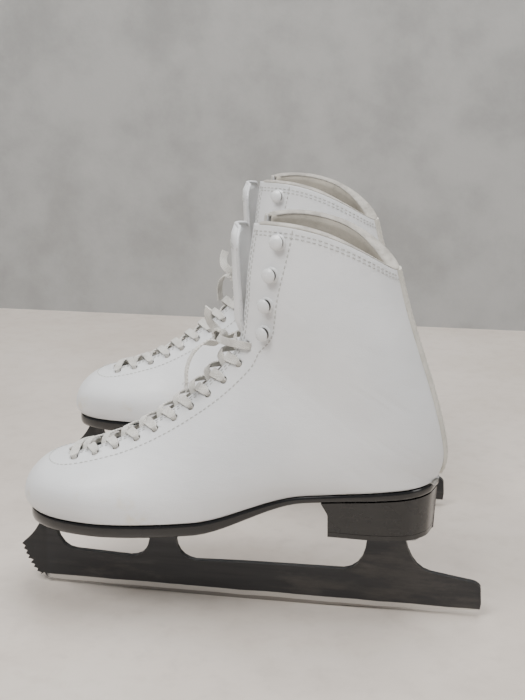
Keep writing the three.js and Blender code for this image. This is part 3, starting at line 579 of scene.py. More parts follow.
def worn_leather(name, light, dark, scale=60, rough=0.7):
    """Unfinished or worn leather: the collar, the strip on the back seam and the lining."""
    n = Nodes(name)
    tone = n.mix(n.ramp(n.noise(scale, 6, 0.65), 0.36, 0.66), light, dark)
    dirt = n.ramp(n.noise(scale * 4, 6, 0.7), 0.56, 0.74, 0, 0.4)
    tone = n.mix(dirt, tone, (0.28, 0.25, 0.21, 1))
    n.bump(n.noise(scale * 6, 5, 0.6), 0.0003, 0.5)
    n.bump(n.ramp(n.cells(900), 0, 0.16), 0.00009, 0.5)
    rough = n.ramp(n.noise(scale, 3), 0.3, 0.7, rough - 0.12, min(rough + 0.12, 1))
    return n.done(tone, rough, sheen=0.1)


def lacquer(name, wear_tone):
    """Glossy black lacquer with fine scratches, dust and a few worn spots."""
    n = Nodes(name)
    worn = n.ramp(n.noise(85, 9, 0.75), 0.70, 0.80, 0, 0.4)
    dust = n.ramp(n.noise(420, 4, 0.7), 0.6, 0.85, 0, 0.05)
    tone = n.mix(dust, n.mix(worn, (0.004, 0.004, 0.0045, 1), wear_tone), (0.35, 0.34, 0.33, 1))
    scratches = n.noise(240, 6, 0.7, stretch=(0.08, 1, 1))
    n.bump(scratches, 0.00012, 0.3)
    n.bump(n.noise(30, 2), 0.0006, 0.3)
    rough = n.ramp(n.noise(110, 6, 0.7), 0.35, 0.8, 0.10, 0.32)
    return n.done(tone, rough, coat=0.35)


def edge_bands(tone):
    """Stacked leather under lacquer: two fine bands run round the heel."""
    n = Nodes("heel_lacquer")
    z = n.parts()[2]
    line = n.ramp(n.maths("SINE", n.maths("MULTIPLY", z, 2 * math.pi / 0.0062)), 0.93, 1.0)
    worn = n.ramp(n.noise(90, 9, 0.75), 0.66, 0.76, 0, 0.5)
    banded = n.mix(n.maths("MULTIPLY", line, 0.2), (0.0045, 0.0045, 0.005, 1), tone)
    color = n.mix(worn, banded, (0.07, 0.055, 0.045, 1))
    n.bump(line, 0.0002, -0.5)
    n.bump(n.noise(240, 6, 0.7, stretch=(0.1, 0.1, 1)), 0.00012, 0.3)
    return n.done(color, n.ramp(n.noise(120, 6), 0.35, 0.8, 0.16, 0.42), coat=0.3)


def blade_steel(name, tip):
    """Dark worn steel, ground bright along the ice; near the tip the pick is painted near-black and
    mostly non-metallic: painted shade on its cross-cut teeth.
    """
    n = Nodes(name)
    x, _, z = n.parts()[:3]
    brushed = n.noise(320, 5, 0.65, stretch=(0.05, 1, 1))
    rust = n.ramp(n.noise(60, 9, 0.7, stretch=(0.25, 1, 1)), 0.5, 0.72)
    dark = n.mix(rust, (0.062, 0.063, 0.066, 1), (0.095, 0.092, 0.090, 1))
    wavy = n.maths("ADD", z, n.maths("MULTIPLY", n.noise(40, 2), 0.0012))
    strip = n.ramp(wavy, 0.0066, 0.0060)
    ground = n.ramp(wavy, 0.0030, 0.0034)
    bright = n.mix(ground, (0.30, 0.29, 0.28, 1), (0.66, 0.65, 0.63, 1))
    color = n.mix(strip, dark, bright)
    # coat marks the painted shade on the pick: near-black and mostly non-metallic towards the tip.
    coat = n.ramp(x, tip + 0.0185, tip + 0.0150)
    coat = n.maths("MULTIPLY", coat, n.ramp(n.noise(150, 6), 0.70, 0.62))
    color = n.mix(coat, color, (0.018, 0.018, 0.019, 1))
    n.bump(brushed, 0.00008, 0.6)
    n.bump(n.noise(500, 5, 0.7), 0.00006, 0.4)
    rough = n.mix(strip, n.ramp(brushed, 0.3, 0.7, 0.38, 0.56), (0.24, 0.24, 0.24, 1))
    return n.done(color, rough, metallic=n.maths("SUBTRACT", 1.0, n.maths("MULTIPLY", coat, 0.9)))


def plate_steel(name="plate_steel", light=(0.33, 0.33, 0.34, 1)):
    n = Nodes(name)
    grime = n.ramp(n.noise(70, 8, 0.7), 0.48, 0.7)
    color = n.mix(grime, light, (0.13, 0.12, 0.115, 1))
    n.bump(n.noise(380, 5, 0.6, stretch=(0.1, 1, 1)), 0.00008, 0.6)
    return n.done(color, n.ramp(n.noise(140, 5), 0.3, 0.7, 0.26, 0.5), metallic=1.0)


def enamel():
    n = Nodes("enamel")
    chips = n.ramp(n.noise(700, 6, 0.7), 0.66, 0.70)
    color = n.mix(chips, (0.80, 0.81, 0.82, 1), (0.30, 0.29, 0.28, 1))
    n.bump(chips, 0.0001, -0.6)
    return n.done(color, n.ramp(n.noise(300, 4), 0.3, 0.7, 0.16, 0.34), coat=0.4)


def hook_neck_and_shadow():
    n = Nodes("hook_neck_and_shadow")
    # Dark grey: partly the neck's own unpainted steel, partly painted shadow that the dome would cast
    # below itself.
    color = n.mix(n.noise(500, 5), (0.09, 0.09, 0.095, 1), (0.20, 0.19, 0.18, 1))
    n.bump(n.noise(900, 3), 0.00006, 0.5)
    return n.done(color, n.ramp(n.noise(400, 4), 0.3, 0.7, 0.35, 0.55), metallic=0.7)


def woven(name, light, dark, across=9, pitch=0.0011):
    """Flat braid: strands slant both ways between the edges. It follows the piece's own map."""
    n = Nodes(name)
    lie = n.add("ShaderNodeTexCoord").outputs["UV"]
    along, side = n.parts(lie)[:2]
    strands = n.maths("MULTIPLY", side, across * math.pi)
    run = n.maths("MULTIPLY", along, math.pi / pitch)
    first = n.maths("SINE", n.maths("ADD", run, strands))
    second = n.maths("SINE", n.maths("SUBTRACT", run, strands))
    weave = n.maths("MAXIMUM", first, second)
    shade = n.ramp(weave, -0.2, 1.0, 0.0, 1.0)
    soil = n.ramp(n.noise(90, 6, 0.7), 0.42, 0.7)
    color = n.mix(shade, dark, n.mix(soil, light, (0.56, 0.54, 0.50, 1)))
    n.bump(weave, 0.00022, 0.8)
    n.bump(n.noise(2600, 3, 0.6), 0.00006, 0.5)
    return n.done(color, 0.88, sheen=0.35, specular=0.25)


def thread(name, tone):
    n = Nodes(name)
    twist = n.noise(1800, 3, 0.6, stretch=(1, 1, 0.4))
    color = n.mix(twist, tone, tuple(0.72 * c for c in tone[:3]) + (1,))
    n.bump(twist, 0.00012, 0.7)
    return n.done(color, n.ramp(twist, 0.2, 0.8, 0.55, 0.75), sheen=0.2)


def board(name, light, dark):
    n = Nodes(name)
    fibre = n.noise(700, 6, 0.7, stretch=(0.4, 1, 1))
    n.bump(fibre, 0.0002, 0.6)
    return n.done(n.mix(fibre, light, dark), n.ramp(fibre, 0.3, 0.7, 0.8, 0.95), sheen=0.15)


def pale_floor():
    n = Nodes("pale_floor")
    mottle = n.noise(7, 6, 0.6)
    fine = n.noise(60, 5, 0.6)
    tone = n.mix(n.ramp(mottle, 0.35, 0.68), (0.70, 0.635, 0.575, 1), (0.61, 0.545, 0.485, 1))
    tone = n.mix(n.ramp(fine, 0.45, 0.75, 0, 0.35), tone, (0.50, 0.44, 0.39, 1))
    n.bump(fine, 0.0004, 0.3)
    return n.done(tone, n.ramp(fine, 0.3, 0.7, 0.30, 0.46))


def grey_wall():
    n = Nodes("grey_wall")
    tone = n.mix(n.ramp(n.noise(8, 7, 0.62), 0.38, 0.66), (0.40, 0.40, 0.395, 1), (0.31, 0.31, 0.305, 1))
    n.bump(n.noise(220, 5), 0.0005, 0.4)
    return n.done(tone, n.ramp(n.noise(9, 3), 0.3, 0.7, 0.75, 0.9))


# ---- Camera, floor and light ----------------------------------------------------------------

CAMERA_FROM_TAIL = Vector((-12.1, -670.7, 348.3)) * MM
CAMERA_DOWN = math.radians(15.38)
CAMERA_ACROSS = math.radians(10.30)
IMAGE_HEIGHT = 700
FOCAL_LENGTH = 1200  # in units of the image's pixels
SENSOR_HEIGHT = 24.0


def make_camera():
    low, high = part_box("left_runner")
    tail = Vector((high[0], (low[1] + high[1]) / 2, 0))
    data = bpy.data.cameras.new("camera")
    data.sensor_fit = "VERTICAL"
    data.sensor_height = SENSOR_HEIGHT
    data.lens = FOCAL_LENGTH * SENSOR_HEIGHT / IMAGE_HEIGHT
    data.clip_start = 0.01
    camera = bpy.data.objects.new("camera", data)
    bpy.context.scene.collection.objects.link(camera)
    level = Vector((-math.sin(CAMERA_ACROSS), math.cos(CAMERA_ACROSS), 0))
    look = level * math.cos(CAMERA_DOWN) - Vector((0, 0, 1)) * math.sin(CAMERA_DOWN)
    turned = look.to_track_quat("-Z", "Y").to_matrix().to_4x4()
    camera.matrix_world = Matrix.Translation(tail + CAMERA_FROM_TAIL) @ turned
    bpy.context.scene.camera = camera


FLOOR_FRONT = -1.6
WALL_AT = 0.62
FLOOR_HALF = 2.4
WALL_TOP = 2.2


def make_stage():
    def sheet(name, corners, material):
        mesh = bpy.data.meshes.new(name)
        mesh.from_pydata(corners, [], [(0, 1, 2, 3)])
        mesh.materials.append(material)
        piece = bpy.data.objects.new(name, mesh)
        bpy.context.scene.collection.objects.link(piece)

    half = FLOOR_HALF
    floor = ((-half, FLOOR_FRONT, 0), (half, FLOOR_FRONT, 0), (half, WALL_AT, 0), (-half, WALL_AT, 0))
    foot = ((-half, WALL_AT, 0), (half, WALL_AT, 0))
    wall = foot + ((half, WALL_AT, WALL_TOP), (-half, WALL_AT, WALL_TOP))
    sheet("floor", floor, pale_floor())
    sheet("wall", wall, grey_wall())


def make_lights():
    def area(name, place, aim, size, power, tone):
        data = bpy.data.lights.new(name, "AREA")
        data.shape = "RECTANGLE"
        data.size, data.size_y = size
        data.energy = power
        data.color = tone
        lamp = bpy.data.objects.new(name, data)
        bpy.context.scene.collection.objects.link(lamp)
        lamp.location = place
        lamp.rotation_euler = (Vector(aim) - Vector(place)).to_track_quat("-Z", "Y").to_euler()

    area("key", (-0.5, -0.9, 1.5), (0, 0, 0.1), (0.9, 0.7), 24, (1, 0.985, 0.96))
    area("top", (0.2, 0.1, 1.6), (0, 0, 0), (1.1, 0.8), 21, (1, 0.995, 0.985))
    area("side", (1.3, -0.7, 0.7), (0.05, 0, 0.12), (0.6, 0.8), 4, (1, 0.98, 0.95))
    world = bpy.data.worlds.new("studio")
    world.use_nodes = True
    world.node_tree.nodes["Background"].inputs["Color"].default_value = (0.88, 0.89, 0.9, 1)
    world.node_tree.nodes["Background"].inputs["Strength"].default_value = 0.38
    bpy.context.scene.world = world


# ---- Lace -----------------------------------------------------------------------------------


class LacePoint:
    def __init__(self, place, outwards, width=1.0):
        self.place = place
        self.outwards = outwards
        self.width = width


def lace_on_boot(u, a, depth, width=1.0):
    return LacePoint(boot_at(u, a, depth), boot_normal(u, a), width)


HOLE_WIDTH = 0.55  # share of the lace's width where it is gathered in an eyelet


EYELET_LIP = 2.2  # where the lace bends down, this far ahead of the hole's middle


def before_eyelet(u, side):
    return around_to(u, side, throat_half(u) + EYELET_FROM_EDGE - EYELET_LIP)


def lace_crossing(k, side):
    """From one eyelet, under the facing, across the throat and into the next one opposite."""
    start, end = EYELET_SECTIONS[k], EYELET_SECTIONS[k + 1]

    def at(t):
        return start + (end - start) * t

    def edge(t, way):
        return around_to(at(t), way, throat_half(at(t)) - 1)

    points = [lace_on_boot(start, eyelet_around(start, side), LACE_UNDER, HOLE_WIDTH)]
    if side < 0:
        points.append(lace_on_boot(at(0.25), edge(0.25, side), LACE_UNDER))
        points.append(lace_on_boot(at(0.5), 0, -LACE_ARCH * throat_half(at(0.5))))
    else:
        points.append(lace_on_boot(at(0.5), 0, LACE_CROSS_LOW))
        points.append(lace_on_boot(at(0.75), edge(0.75, -side), LACE_OVER))
    points.append(lace_on_boot(end, before_eyelet(end, -side), LACE_OVER, 0.9))
    points.append(lace_on_boot(end, eyelet_around(end, -side), LACE_OVER + 0.9, HOLE_WIDTH))
    return points


def last_crossing(side):
    """The last strand stays under the facings and comes out through the top eyelet."""
    start, end = EYELET_SECTIONS[EYELETS - 2], EYELET_SECTIONS[EYELETS - 1]
    around = eyelet_around(end, -side)
    return [
        lace_on_boot(start, eyelet_around(start, side), LACE_UNDER, HOLE_WIDTH),
        lace_on_boot((start + end) / 2, 0, 0.2 if side < 0 else LACE_UNDER),
        lace_on_boot(end, around, LACE_UNDER, HOLE_WIDTH),
        lace_on_boot(end, around, LACE_OVER - 0.4, 0.8),
    ]


def lace_end(name):
    knot = boot_at(KNOT_SECTION, 0, KNOT_DEPTH)
    facing = {"outer": Vector((-0.5, -1, 0.2)), "inner": Vector((-1, -0.4, 0.6))}[name].normalized()
    return [
        LacePoint(knot + Vector((-ahead, inward, up)), facing, 0.8 if i < 2 else 1.0)
        for i, (ahead, inward, up) in enumerate(LACE_ENDS[name])
    ]


def lace_run(side):
    first = EYELET_SECTIONS[0]
    points = [
        lace_on_boot(first, before_eyelet(first, side), LACE_OVER),
        lace_on_boot(first, eyelet_around(first, side), LACE_OVER + 0.9, HOLE_WIDTH),
    ]
    at = side
    for k in range(EYELETS - 2):
        points += lace_crossing(k, at)
        at = -at
    points += last_crossing(at)
    return points + lace_end("outer" if at > 0 else "inner")


def lace_route():
    middle = lace_on_boot(EYELET_SECTIONS[0], 0, -LACE_ARCH * THROAT_HALF_FOOT)
    return list(reversed(lace_run(-1))) + [middle] + lace_run(1)


def lace_frames(route, steps=4):
    """Places, the way across the ribbon and its width, smoothly along the route."""
    places = smooth_path([p.place for p in route], steps)
    guides = smooth_path([p.outwards for p in route], steps)
    widths = [w.x for w in smooth_path([Vector((p.width, 0, 0)) for p in route], steps)]
    across = []
    for i in range(len(places)):
        ahead, behind = places[min(i + 1, len(places) - 1)], places[max(i - 1, 0)]
        tangent = (ahead - behind).normalized()
        guide = tangent.cross(guides[i])
        strength = guide.length
        if across:
            carried = across[-1] - tangent * across[-1].dot(tangent)
            if guide.dot(carried) < 0:
                guide = -guide
            guide = carried.normalized() * (1.15 - strength) + guide * strength
        across.append(guide.normalized())
    return places, across, widths


# The ribbon's outline, as shares of its width and its thickness.
RIBBON_SIDE = (
    (0.5, -0.18),
    (0.5, 0.18),
    (0.45, 0.5),
    (-0.45, 0.5),
    (-0.5, 0.18),
    (-0.5, -0.18),
    (-0.45, -0.5),
    (0.45, -0.5),
)


def ribbon(shape, places, across, widths, width, thickness, slot=0):
    rings = []
    run = [0.0]
    for i, place in enumerate(places):
        ahead, behind = places[min(i + 1, len(places) - 1)], places[max(i - 1, 0)]
        outwards = (ahead - behind).normalized().cross(across[i])
        thick = thickness * (1 + 0.6 * (1 - min(widths[i], 1)))
        rings.append([
            place + across[i] * (s * width * widths[i]) + outwards * (h * thick)
            for s, h in RIBBON_SIDE
        ])
        if i:
            run.append(run[-1] + (place - places[i - 1]).length * MM)
    sides = [s + 0.5 for s, _ in RIBBON_SIDE] + [RIBBON_SIDE[0][0] + 0.5]
    shape.tube(rings, slot, mapped=lambda i, j: (run[i], sides[j]))


KNOT_RADIUS = 3.4
KNOT_TURNS = 1.7


def knot_shape():
    """A turn and a half of lace pulled tight round the two ends."""
    centre = boot_at(KNOT_SECTION, 0, KNOT_DEPTH) + Vector((-2.5, 0, 2))
    axis = Vector((0.25, 1, 0.1)).normalized()
    first = axis.orthogonal().normalized()
    second = axis.cross(first)
    places, across = [], []
    steps = 30
    for i in range(steps + 1):
        t = i / steps
        angle = 2 * math.pi * KNOT_TURNS * t
        radius = KNOT_RADIUS * (1 + 0.12 * math.sin(3 * angle))
        spoke = first * math.cos(angle) + second * math.sin(angle)
        places.append(centre + spoke * radius + axis * (t - 0.5) * 3.4)
        across.append((axis + spoke * 0.35 * math.sin(2 * angle)).normalized())
    shape = Shape()
    ribbon(shape, places, across, [0.85] * len(places), LACE_WIDTH, LACE_THICKNESS * 1.3)
    return shape


FRAY_THREADS = 9
FRAY_LENGTH = 6.0


def fray_shape(places, across):
    """Loose threads at a lace's cut end."""
    shape = Shape()
    end, before = places[-1], places[-4]
    away = (end - before).normalized()
    for i in range(FRAY_THREADS):
        share = i / (FRAY_THREADS - 1) - 0.5
        start = end + across[-1] * share * LACE_WIDTH * 0.8
        bend = Vector(noise.noise_vector(Vector((i * 3.1, 0.4, 1.7)))) * 3
        reach = away * FRAY_LENGTH * (0.7 + 0.3 * math.cos(i * 2.3))
        tip = start + reach + across[-1] * share * 3 + bend
        middle = (start + tip) / 2 + bend * 0.4
        rings = []
        for place in smooth_path([start - away, middle, tip], 4):
            thick = 0.32 * (1.1 - (place - start).length / (FRAY_LENGTH * 1.6))
            side = away.orthogonal().normalized()
            other = away.cross(side)
            rings.append([
                place + side * math.cos(q) * thick + other * math.sin(q) * thick
                for q in (0, 2.1, 4.2)
            ])
        shape.tube(rings)
    return shape


def make_laces(material, fray):
    route = lace_route()
    places, across, widths = lace_frames(route)
    shape = Shape()
    ribbon(shape, places, across, widths, LACE_WIDTH, LACE_THICKNESS)
    knot = knot_shape()
    threads = fray_shape(places, across)
    for skate in SKATES:
        lace = add_piece(shape, "lace_ribbon", skate, material, "woven_lace", 50, "lace")
        tied = add_piece(knot, "lace_knot", skate, material, "woven_lace", 50)
        loose = add_piece(threads, "lace_fray", skate, fray, "woven_lace", 80)
        path = [skate.place(p) for p in places]


# ---- Upper and its trimmings ----------------------------------------------------------------

# Soft folds across the ankle and shaft: section, width in sections, depth in millimetres.
CREASES = (
    (11.3, 0.12, 0.35),
    (12.4, 0.10, 0.4),
    (14.5, 0.09, 0.4),
    (15.1, 0.08, 0.45),
    (15.7, 0.08, 0.4),
    (16.3, 0.08, 0.4),
    (16.9, 0.08, 0.4),
    (17.5, 0.08, 0.35),
)
CREASE_WANDER = 0.55


def crease(u, a):
    """How far the leather sinks in at its soft folds."""
    around = abs(a)
    fade = min(max((around - 0.3) / 0.2, 0), 1) * min(max((0.97 - around) / 0.15, 0), 1)
    deep = 0.0
    for i, (at, wide, depth) in enumerate(CREASES):
        line = at + CREASE_WANDER * noise.noise(Vector((a * 3.1, i * 5.7, 0.3)))
        share = max(0.15 + 1.6 * noise.noise(Vector((a * 7.0, i * 2.9, 4.1))), 0)
        deep += depth * share * math.exp(-(((u - line) / wide) ** 2))
    wave = 0.25 * noise.noise(Vector((u * 0.9, a * 3.0, 7.7)))
    return fade * (deep + wave)


def front_edge(u, side):
    return abs(around_to(u, side, throat_half(u))) if u > THROAT_SECTION else 0.0


THROAT_START = (5.06, 5.08, 5.11, 5.16, 5.22, 5.29, 5.37, 5.45)
BOOT_ROWS = (
    spread(0, 1.5, 12)
    + spread(1.5, 5.02, 26)[1:]
    + list(THROAT_START)
    + spread(5.45, 13.6, 62)[1:]
    + spread(13.6, 14.6, 8)[1:]
    + spread(14.6, COLLAR_SECTION, 54)[1:]
)
BOOT_COLUMNS = spread(0, 1, 40)


def boot_side(side, rows, depth, inset=0.0, folds=True):
    """Rows of points on one side of the boot, from its base to the front edge."""
    grid = []
    for u in rows:
        edge = front_edge(u, side)
        if u > THROAT_SECTION:
            edge += inset
        row = []
        for q in BOOT_COLUMNS:
            a = side * (1 - q * (1 - edge))
            row.append(boot_at(u, a, depth + (crease(u, a) if folds else 0)))
        grid.append(row)
    return grid


def eyelet_cutter():
    shape = Shape()
    for side in (-1, 1):
        for u in EYELET_SECTIONS:
            a = eyelet_around(u, side)
            inner, outer, normal = boot_at(u, a, 6), boot_at(u, a, -3), boot_normal(u, a)
            first = normal.orthogonal().normalized()
            second = normal.cross(first)
            ring = [
                first * math.cos(q) * EYELET_HOLE / 2 + second * math.sin(q) * EYELET_HOLE / 2
                for q in (2 * math.pi * i / 18 for i in range(18))
            ]
            shape.tube([[inner + p for p in ring], [outer + p for p in ring]])
    return shape


def make_uppers(leather, raw_edge):
    shape = Shape()
    for side in (-1, 1):
        shape.grid(boot_side(side, BOOT_ROWS, 0))
    cutter = eyelet_cutter()
    for skate in SKATES:
        upper = shape.build("boot_upper", skate, [leather, raw_edge], weld=0.02)
        wall = upper.modifiers.new("wall", "SOLIDIFY")
        wall.thickness = UPPER_THICKNESS * MM
        wall.offset = -1
        wall.material_offset_rim = 1
        tool = cutter.build("eyelet_cutter", skate, [raw_edge])
        punch = upper.modifiers.new("punch", "BOOLEAN")
        punch.object = tool
        punch.solver = "EXACT"
        bake_modifiers(upper)
        bpy.data.objects.remove(tool)
        finish_piece(upper, skate.body(), "white_leather", skate.node("upper"))


LINING_ROWS = spread(5.5, COLLAR_SECTION, 60)


def make_linings(material):
    shape = Shape()
    for side in (-1, 1):
        shape.grid(boot_side(side, LINING_ROWS, LINING_DEPTH, inset=0.012, folds=False))
    for skate in SKATES:
        lining = shape.build("boot_lining", skate, [material], weld=0.02)
        wall = lining.modifiers.new("wall", "SOLIDIFY")
        wall.thickness = LINING_THICKNESS * MM
        wall.offset = -1
        bake_modifiers(lining)
        finish_piece(lining, skate.body(), "inner_leather", skate.node("lining"))


COLLAR_HALF = (LINING_DEPTH + LINING_THICKNESS + 0.5) / 2
COLLAR_RISE = 1.5


def make_collars(material):
    """The rolled and worn edge round the boot's mouth."""
    top = COLLAR_SECTION
    edges = {side: front_edge(top, side) for side in (-1, 1)}
    arounds = spread(-edges[-1] - 0.004, -1, 44) + spread(1, edges[1] + 0.004, 44)[1:]
    rings = []
    for i, a in enumerate(arounds):
        middle = boot_at(top, a, COLLAR_HALF - 0.2)
        inwards = -boot_normal(top, a)
        upwards = (boot_surface(top, a) - boot_surface(top - 0.2, a)).normalized()
        end = min(i, len(arounds) - 1 - i)
        size = math.sqrt(min((end + 0.6) / 3, 1))
        rings.append([
            middle
            + inwards * math.cos(q) * COLLAR_HALF * size
            + upwards * (math.sin(q) * COLLAR_RISE * size - 0.3)
            for q in turns(14)
        ])
    shape = Shape()
    shape.tube(rings)
    for skate in SKATES:
        add_piece(shape, "collar_edge", skate, material, "strip_leather", 60)


def seam_at(u, off, depth):
    """A point beside the back seam, at a distance to the inner side (above 0) or the outer side."""
    side = 1 if off >= 0 else -1
    step = 0.02
    reach = (boot_surface(u, side) - boot_surface(u, side * (1 - step))).length
    return boot_at(u, side * (1 - step * abs(off) / reach), depth)


STRIP_HALF = 6.5
STRIP_THICKNESS = 1.3
STRIP_START = 14.35


def make_backstays(material):
    rows = []
    for u in spread(STRIP_START, COLLAR_SECTION - 0.03, 50):
        ring = []
        for off in spread(-STRIP_HALF, STRIP_HALF, 12):
            domed = STRIP_THICKNESS * (1 - (abs(off) / STRIP_HALF) ** 4)
            ring.append(seam_at(u, off, -0.1 - domed))
        ring += [seam_at(u, off, 0.4) for off in (STRIP_HALF * 0.9, 0.5, -0.5, -STRIP_HALF * 0.9)]
        rows.append(ring)
    shape = Shape()
    shape.tube(rows)
    for skate in SKATES:
        add_piece(shape, "back_strip", skate, material, "strip_leather", 60, "backstay")


# ---- Stitching ------------------------------------------------------------------------------

STITCH_LENGTH = 2.5
STITCH_GAP = 0.8
STITCH_HALF = 0.36


def stitches(shape, line):
    """Separate stitches along a line of places and outward directions."""
    run = 0.0
    start = None
    for (a, _), (b, outwards) in zip(line, line[1:]):
        piece = (b - a).length
        done = 0.0
        while piece - done > 1e-9:
            left = (STITCH_LENGTH if start is not None else STITCH_GAP) - run
            part = min(left, piece - done)
            done += part
            run += part
            place = a.lerp(b, done / piece)
            if part >= left - 1e-9:
                run = 0.0
                if start is None:
                    start = place
                else:
                    one_stitch(shape, start, place, outwards)
                    start = None


def one_stitch(shape, start, end, outwards):
    along = (end - start).normalized()
    across = along.cross(outwards).normalized()
    rings = []
    for t, size, rise in ((0, 0.45, -0.25), (0.2, 1, 0.25), (0.8, 1, 0.25), (1, 0.45, -0.25)):
        middle = start.lerp(end, t) + outwards * rise
        rings.append([
            middle + across * (c * STITCH_HALF * size) + outwards * (s * STITCH_HALF * 0.8 * size)
            for c, s in ((1, 0), (0, 1), (-1, 0), (0, -1))
        ])
    shape.tube(rings)


def on_boot(u, a):
    sunk = crease(u, a)
    return boot_at(u, a, sunk), boot_normal(u, a)


def edge_line(side, off, low=5.12, high=COLLAR_SECTION - 0.1, steps=110):
    """A line on the leather at a distance from the facing's front edge."""
    return [on_boot(u, around_to(u, side, throat_half(u) + off)) for u in spread(low, high, steps)]


FACING_START = 5.4
FACING_OFF = ((FACING_START, 15.5, 0), (13, 17, 0.5), (15.6, 26, 0.5), (COLLAR_SECTION, 27, 0))
FACING_TOE = 1.15  # how many sections the facing's line runs ahead of the throat


def facing_line():
    """Round the facings' reinforcement: up one side, ahead of the throat and up the other."""
    sides = {}
    for side in (-1, 1):
        sides[side] = [
            on_boot(u, around_to(u, side, throat_half(u) + profile(FACING_OFF, u)))
            for u in spread(FACING_START, COLLAR_SECTION - 0.05, 110)
        ]
    out = throat_half(FACING_START) + FACING_OFF[0][1]
    reach = {side: abs(around_to(FACING_START, side, out)) for side in (-1, 1)}
    toe = []
    for q in spread(-1, 1, 24):
        side = -1 if q < 0 else 1
        u = FACING_START - FACING_TOE * math.cos(q * math.pi / 2)
        toe.append(on_boot(u, side * reach[side] * abs(math.sin(q * math.pi / 2))))
    return list(reversed(sides[-1])) + toe[1:-1] + sides[1]


def collar_line(side, below):
    line = []
    edge = front_edge(COLLAR_SECTION, side)
    for q in spread(0.015, 0.93, 60):
        a = side * (edge + (1 - edge) * q)
        reach = (boot_surface(COLLAR_SECTION, a) - boot_surface(COLLAR_SECTION - 0.5, a)).length / 0.5
        line.append(on_boot(COLLAR_SECTION - below / reach, a))
    return line


def strip_line(off):
    rows = spread(STRIP_START + 0.1, COLLAR_SECTION - 0.1, 60)
    beside = 0.985 if off > 0 else -0.985
    return [(seam_at(u, off, -STRIP_THICKNESS * 0.75), boot_normal(u, beside)) for u in rows]


def make_stitching(boot_thread, strip_thread):
    sewn = Shape()
    for side in (-1, 1):
        for off in (2.0, 4.0):
            stitches(sewn, edge_line(side, off))
        for below in (4.0, 6.2):
            stitches(sewn, collar_line(side, below))
    stitches(sewn, facing_line())
    strip = Shape()
    for off in (-2.5, 2.5):
        stitches(strip, strip_line(off))
    for skate in SKATES:
        add_piece(sewn, "boot_stitching", skate, boot_thread, "white_leather", 70)
        add_piece(strip, "strip_stitching", skate, strip_thread, "strip_leather", 70)


# ---- Tongue ---------------------------------------------------------------------------------

TONGUE_DEPTH = 7.7
TONGUE_BODY = 4.0


def make_tongues(material):
    """The lower tongue, fixed under the lacing."""
    shape = Shape()
    rings = []
    for u in spread(5.35, 12.6, 70):
        ring = []
        for a in spread(-0.3, 0.3, 20):
            uneven = 0.25 * noise.noise(Vector((u * 1.4, a * 6, 2.2)))
            puff = 0.7 * math.cos(a / 0.3 * math.pi / 2) + uneven
            ring.append(boot_at(u, a, TONGUE_DEPTH - puff))
        ring += [boot_at(u, a, TONGUE_DEPTH + TONGUE_BODY) for a in spread(0.29, -0.29, 8)]
        rings.append(ring)
    shape.tube(rings)
    for skate in SKATES:
        lower = shape.build("tongue_lower", skate, [material], angle=60)
        finish_piece(lower, skate.body(), "white_leather", skate.node("tongue"))


def tongue_section(z):
    return 13 + 7 * min(max((z - TREAD_HEIGHT - 124) / 63, 0), 1)


def tongue_half(t):
    z = TONGUE_FOLD_HEIGHT + (TONGUE_TOP_HEIGHT - TONGUE_FOLD_HEIGHT) * t
    corner = math.sqrt(max(1 - (max(t - 0.82, 0) / 0.19) ** 2, 0.02))
    return (throat_half(tongue_section(z)) - TONGUE_GAP) * corner


def tongue_middle(t, share):
    """The middle of the padded top's thickness; share runs from -1 to 1 across it."""
    z = TONGUE_FOLD_HEIGHT + (TONGUE_TOP_HEIGHT - TONGUE_FOLD_HEIGHT) * t
    lean = 2 * (1 - t) + 2.5 * max(0.12 - t, 0) / 0.12
    x = TONGUE_FRONT + lean + 4 * share * share + TONGUE_THICKNESS / 2
    return Vector((x, share * tongue_half(t), z))


def tongue_ring(t):
    ring = []
    for k in range(32):
        q = 2 * math.pi * k / 32
        cos, sin = math.cos(q), math.sin(q)
        share = math.copysign(abs(cos) ** 0.55, cos)
        fat = TONGUE_THICKNESS / 2 * (0.72 + 0.38 * (1 - share * share))
        fat *= min(1, 0.35 + (1 - t) * 9)
        wave = 0.25 * noise.noise(Vector((share * 1.7, t * 4.2, 0.9)))
        point = tongue_middle(t, share)
        point.x += -math.copysign(abs(sin) ** 0.7, sin) * fat + wave
        ring.append(point)
    return ring


PIPING = 1.15


def tongue_outline():
    sides = spread(0.08, 0.985, 40)
    outer = [tongue_middle(t, -1) for t in sides]
    inner = [tongue_middle(t, 1) for t in reversed(sides)]
    return outer + [tongue_middle(1, s) for s in (-0.6, 0, 0.6)] + inner


def round_cord(shape, places, radius, sides=8):
    rings = []
    across = None
    for i, place in enumerate(places):
        ahead, behind = places[min(i + 1, len(places) - 1)], places[max(i - 1, 0)]
        tangent = (ahead - behind).normalized()
        across = tangent.orthogonal() if across is None else across - tangent * across.dot(tangent)
        across.normalize()
        other = tangent.cross(across)
        rings.append([
            place + (across * math.cos(q) + other * math.sin(q)) * radius for q in turns(sides)
        ])
    shape.tube(rings)


def tongue_front_line(t, steps=16):
    line = []
    for s in spread(-0.88, 0.88, steps):
        point = tongue_middle(t - 0.03 * s * s, s)
        point.x -= TONGUE_THICKNESS / 2 * (0.72 + 0.38 * (1 - s * s))
        line.append((point, Vector((-1, 0, 0))))
    return line


def make_tongue_tops(material, piping, sewing):
    pad = Shape()
    pad.tube([tongue_ring(t) for t in spread(0, 0.9, 46) + spread(0.9, 1, 14)[1:]])
    edge = Shape()
    round_cord(edge, tongue_outline(), PIPING)
    sewn = Shape()
    for t in (0.86, 0.83):
        stitches(sewn, tongue_front_line(t))
    for skate in SKATES:
        body = skate.body("tongue")
        top = add_piece(pad, "tongue_pad", skate, material, "white_leather", 60, "tongue_top", body)
        add_piece(edge, "tongue_piping", skate, piping, "white_leather", 60, body=body)
        add_piece(sewn, "tongue_stitching", skate, sewing, "white_leather", 70, body=body)
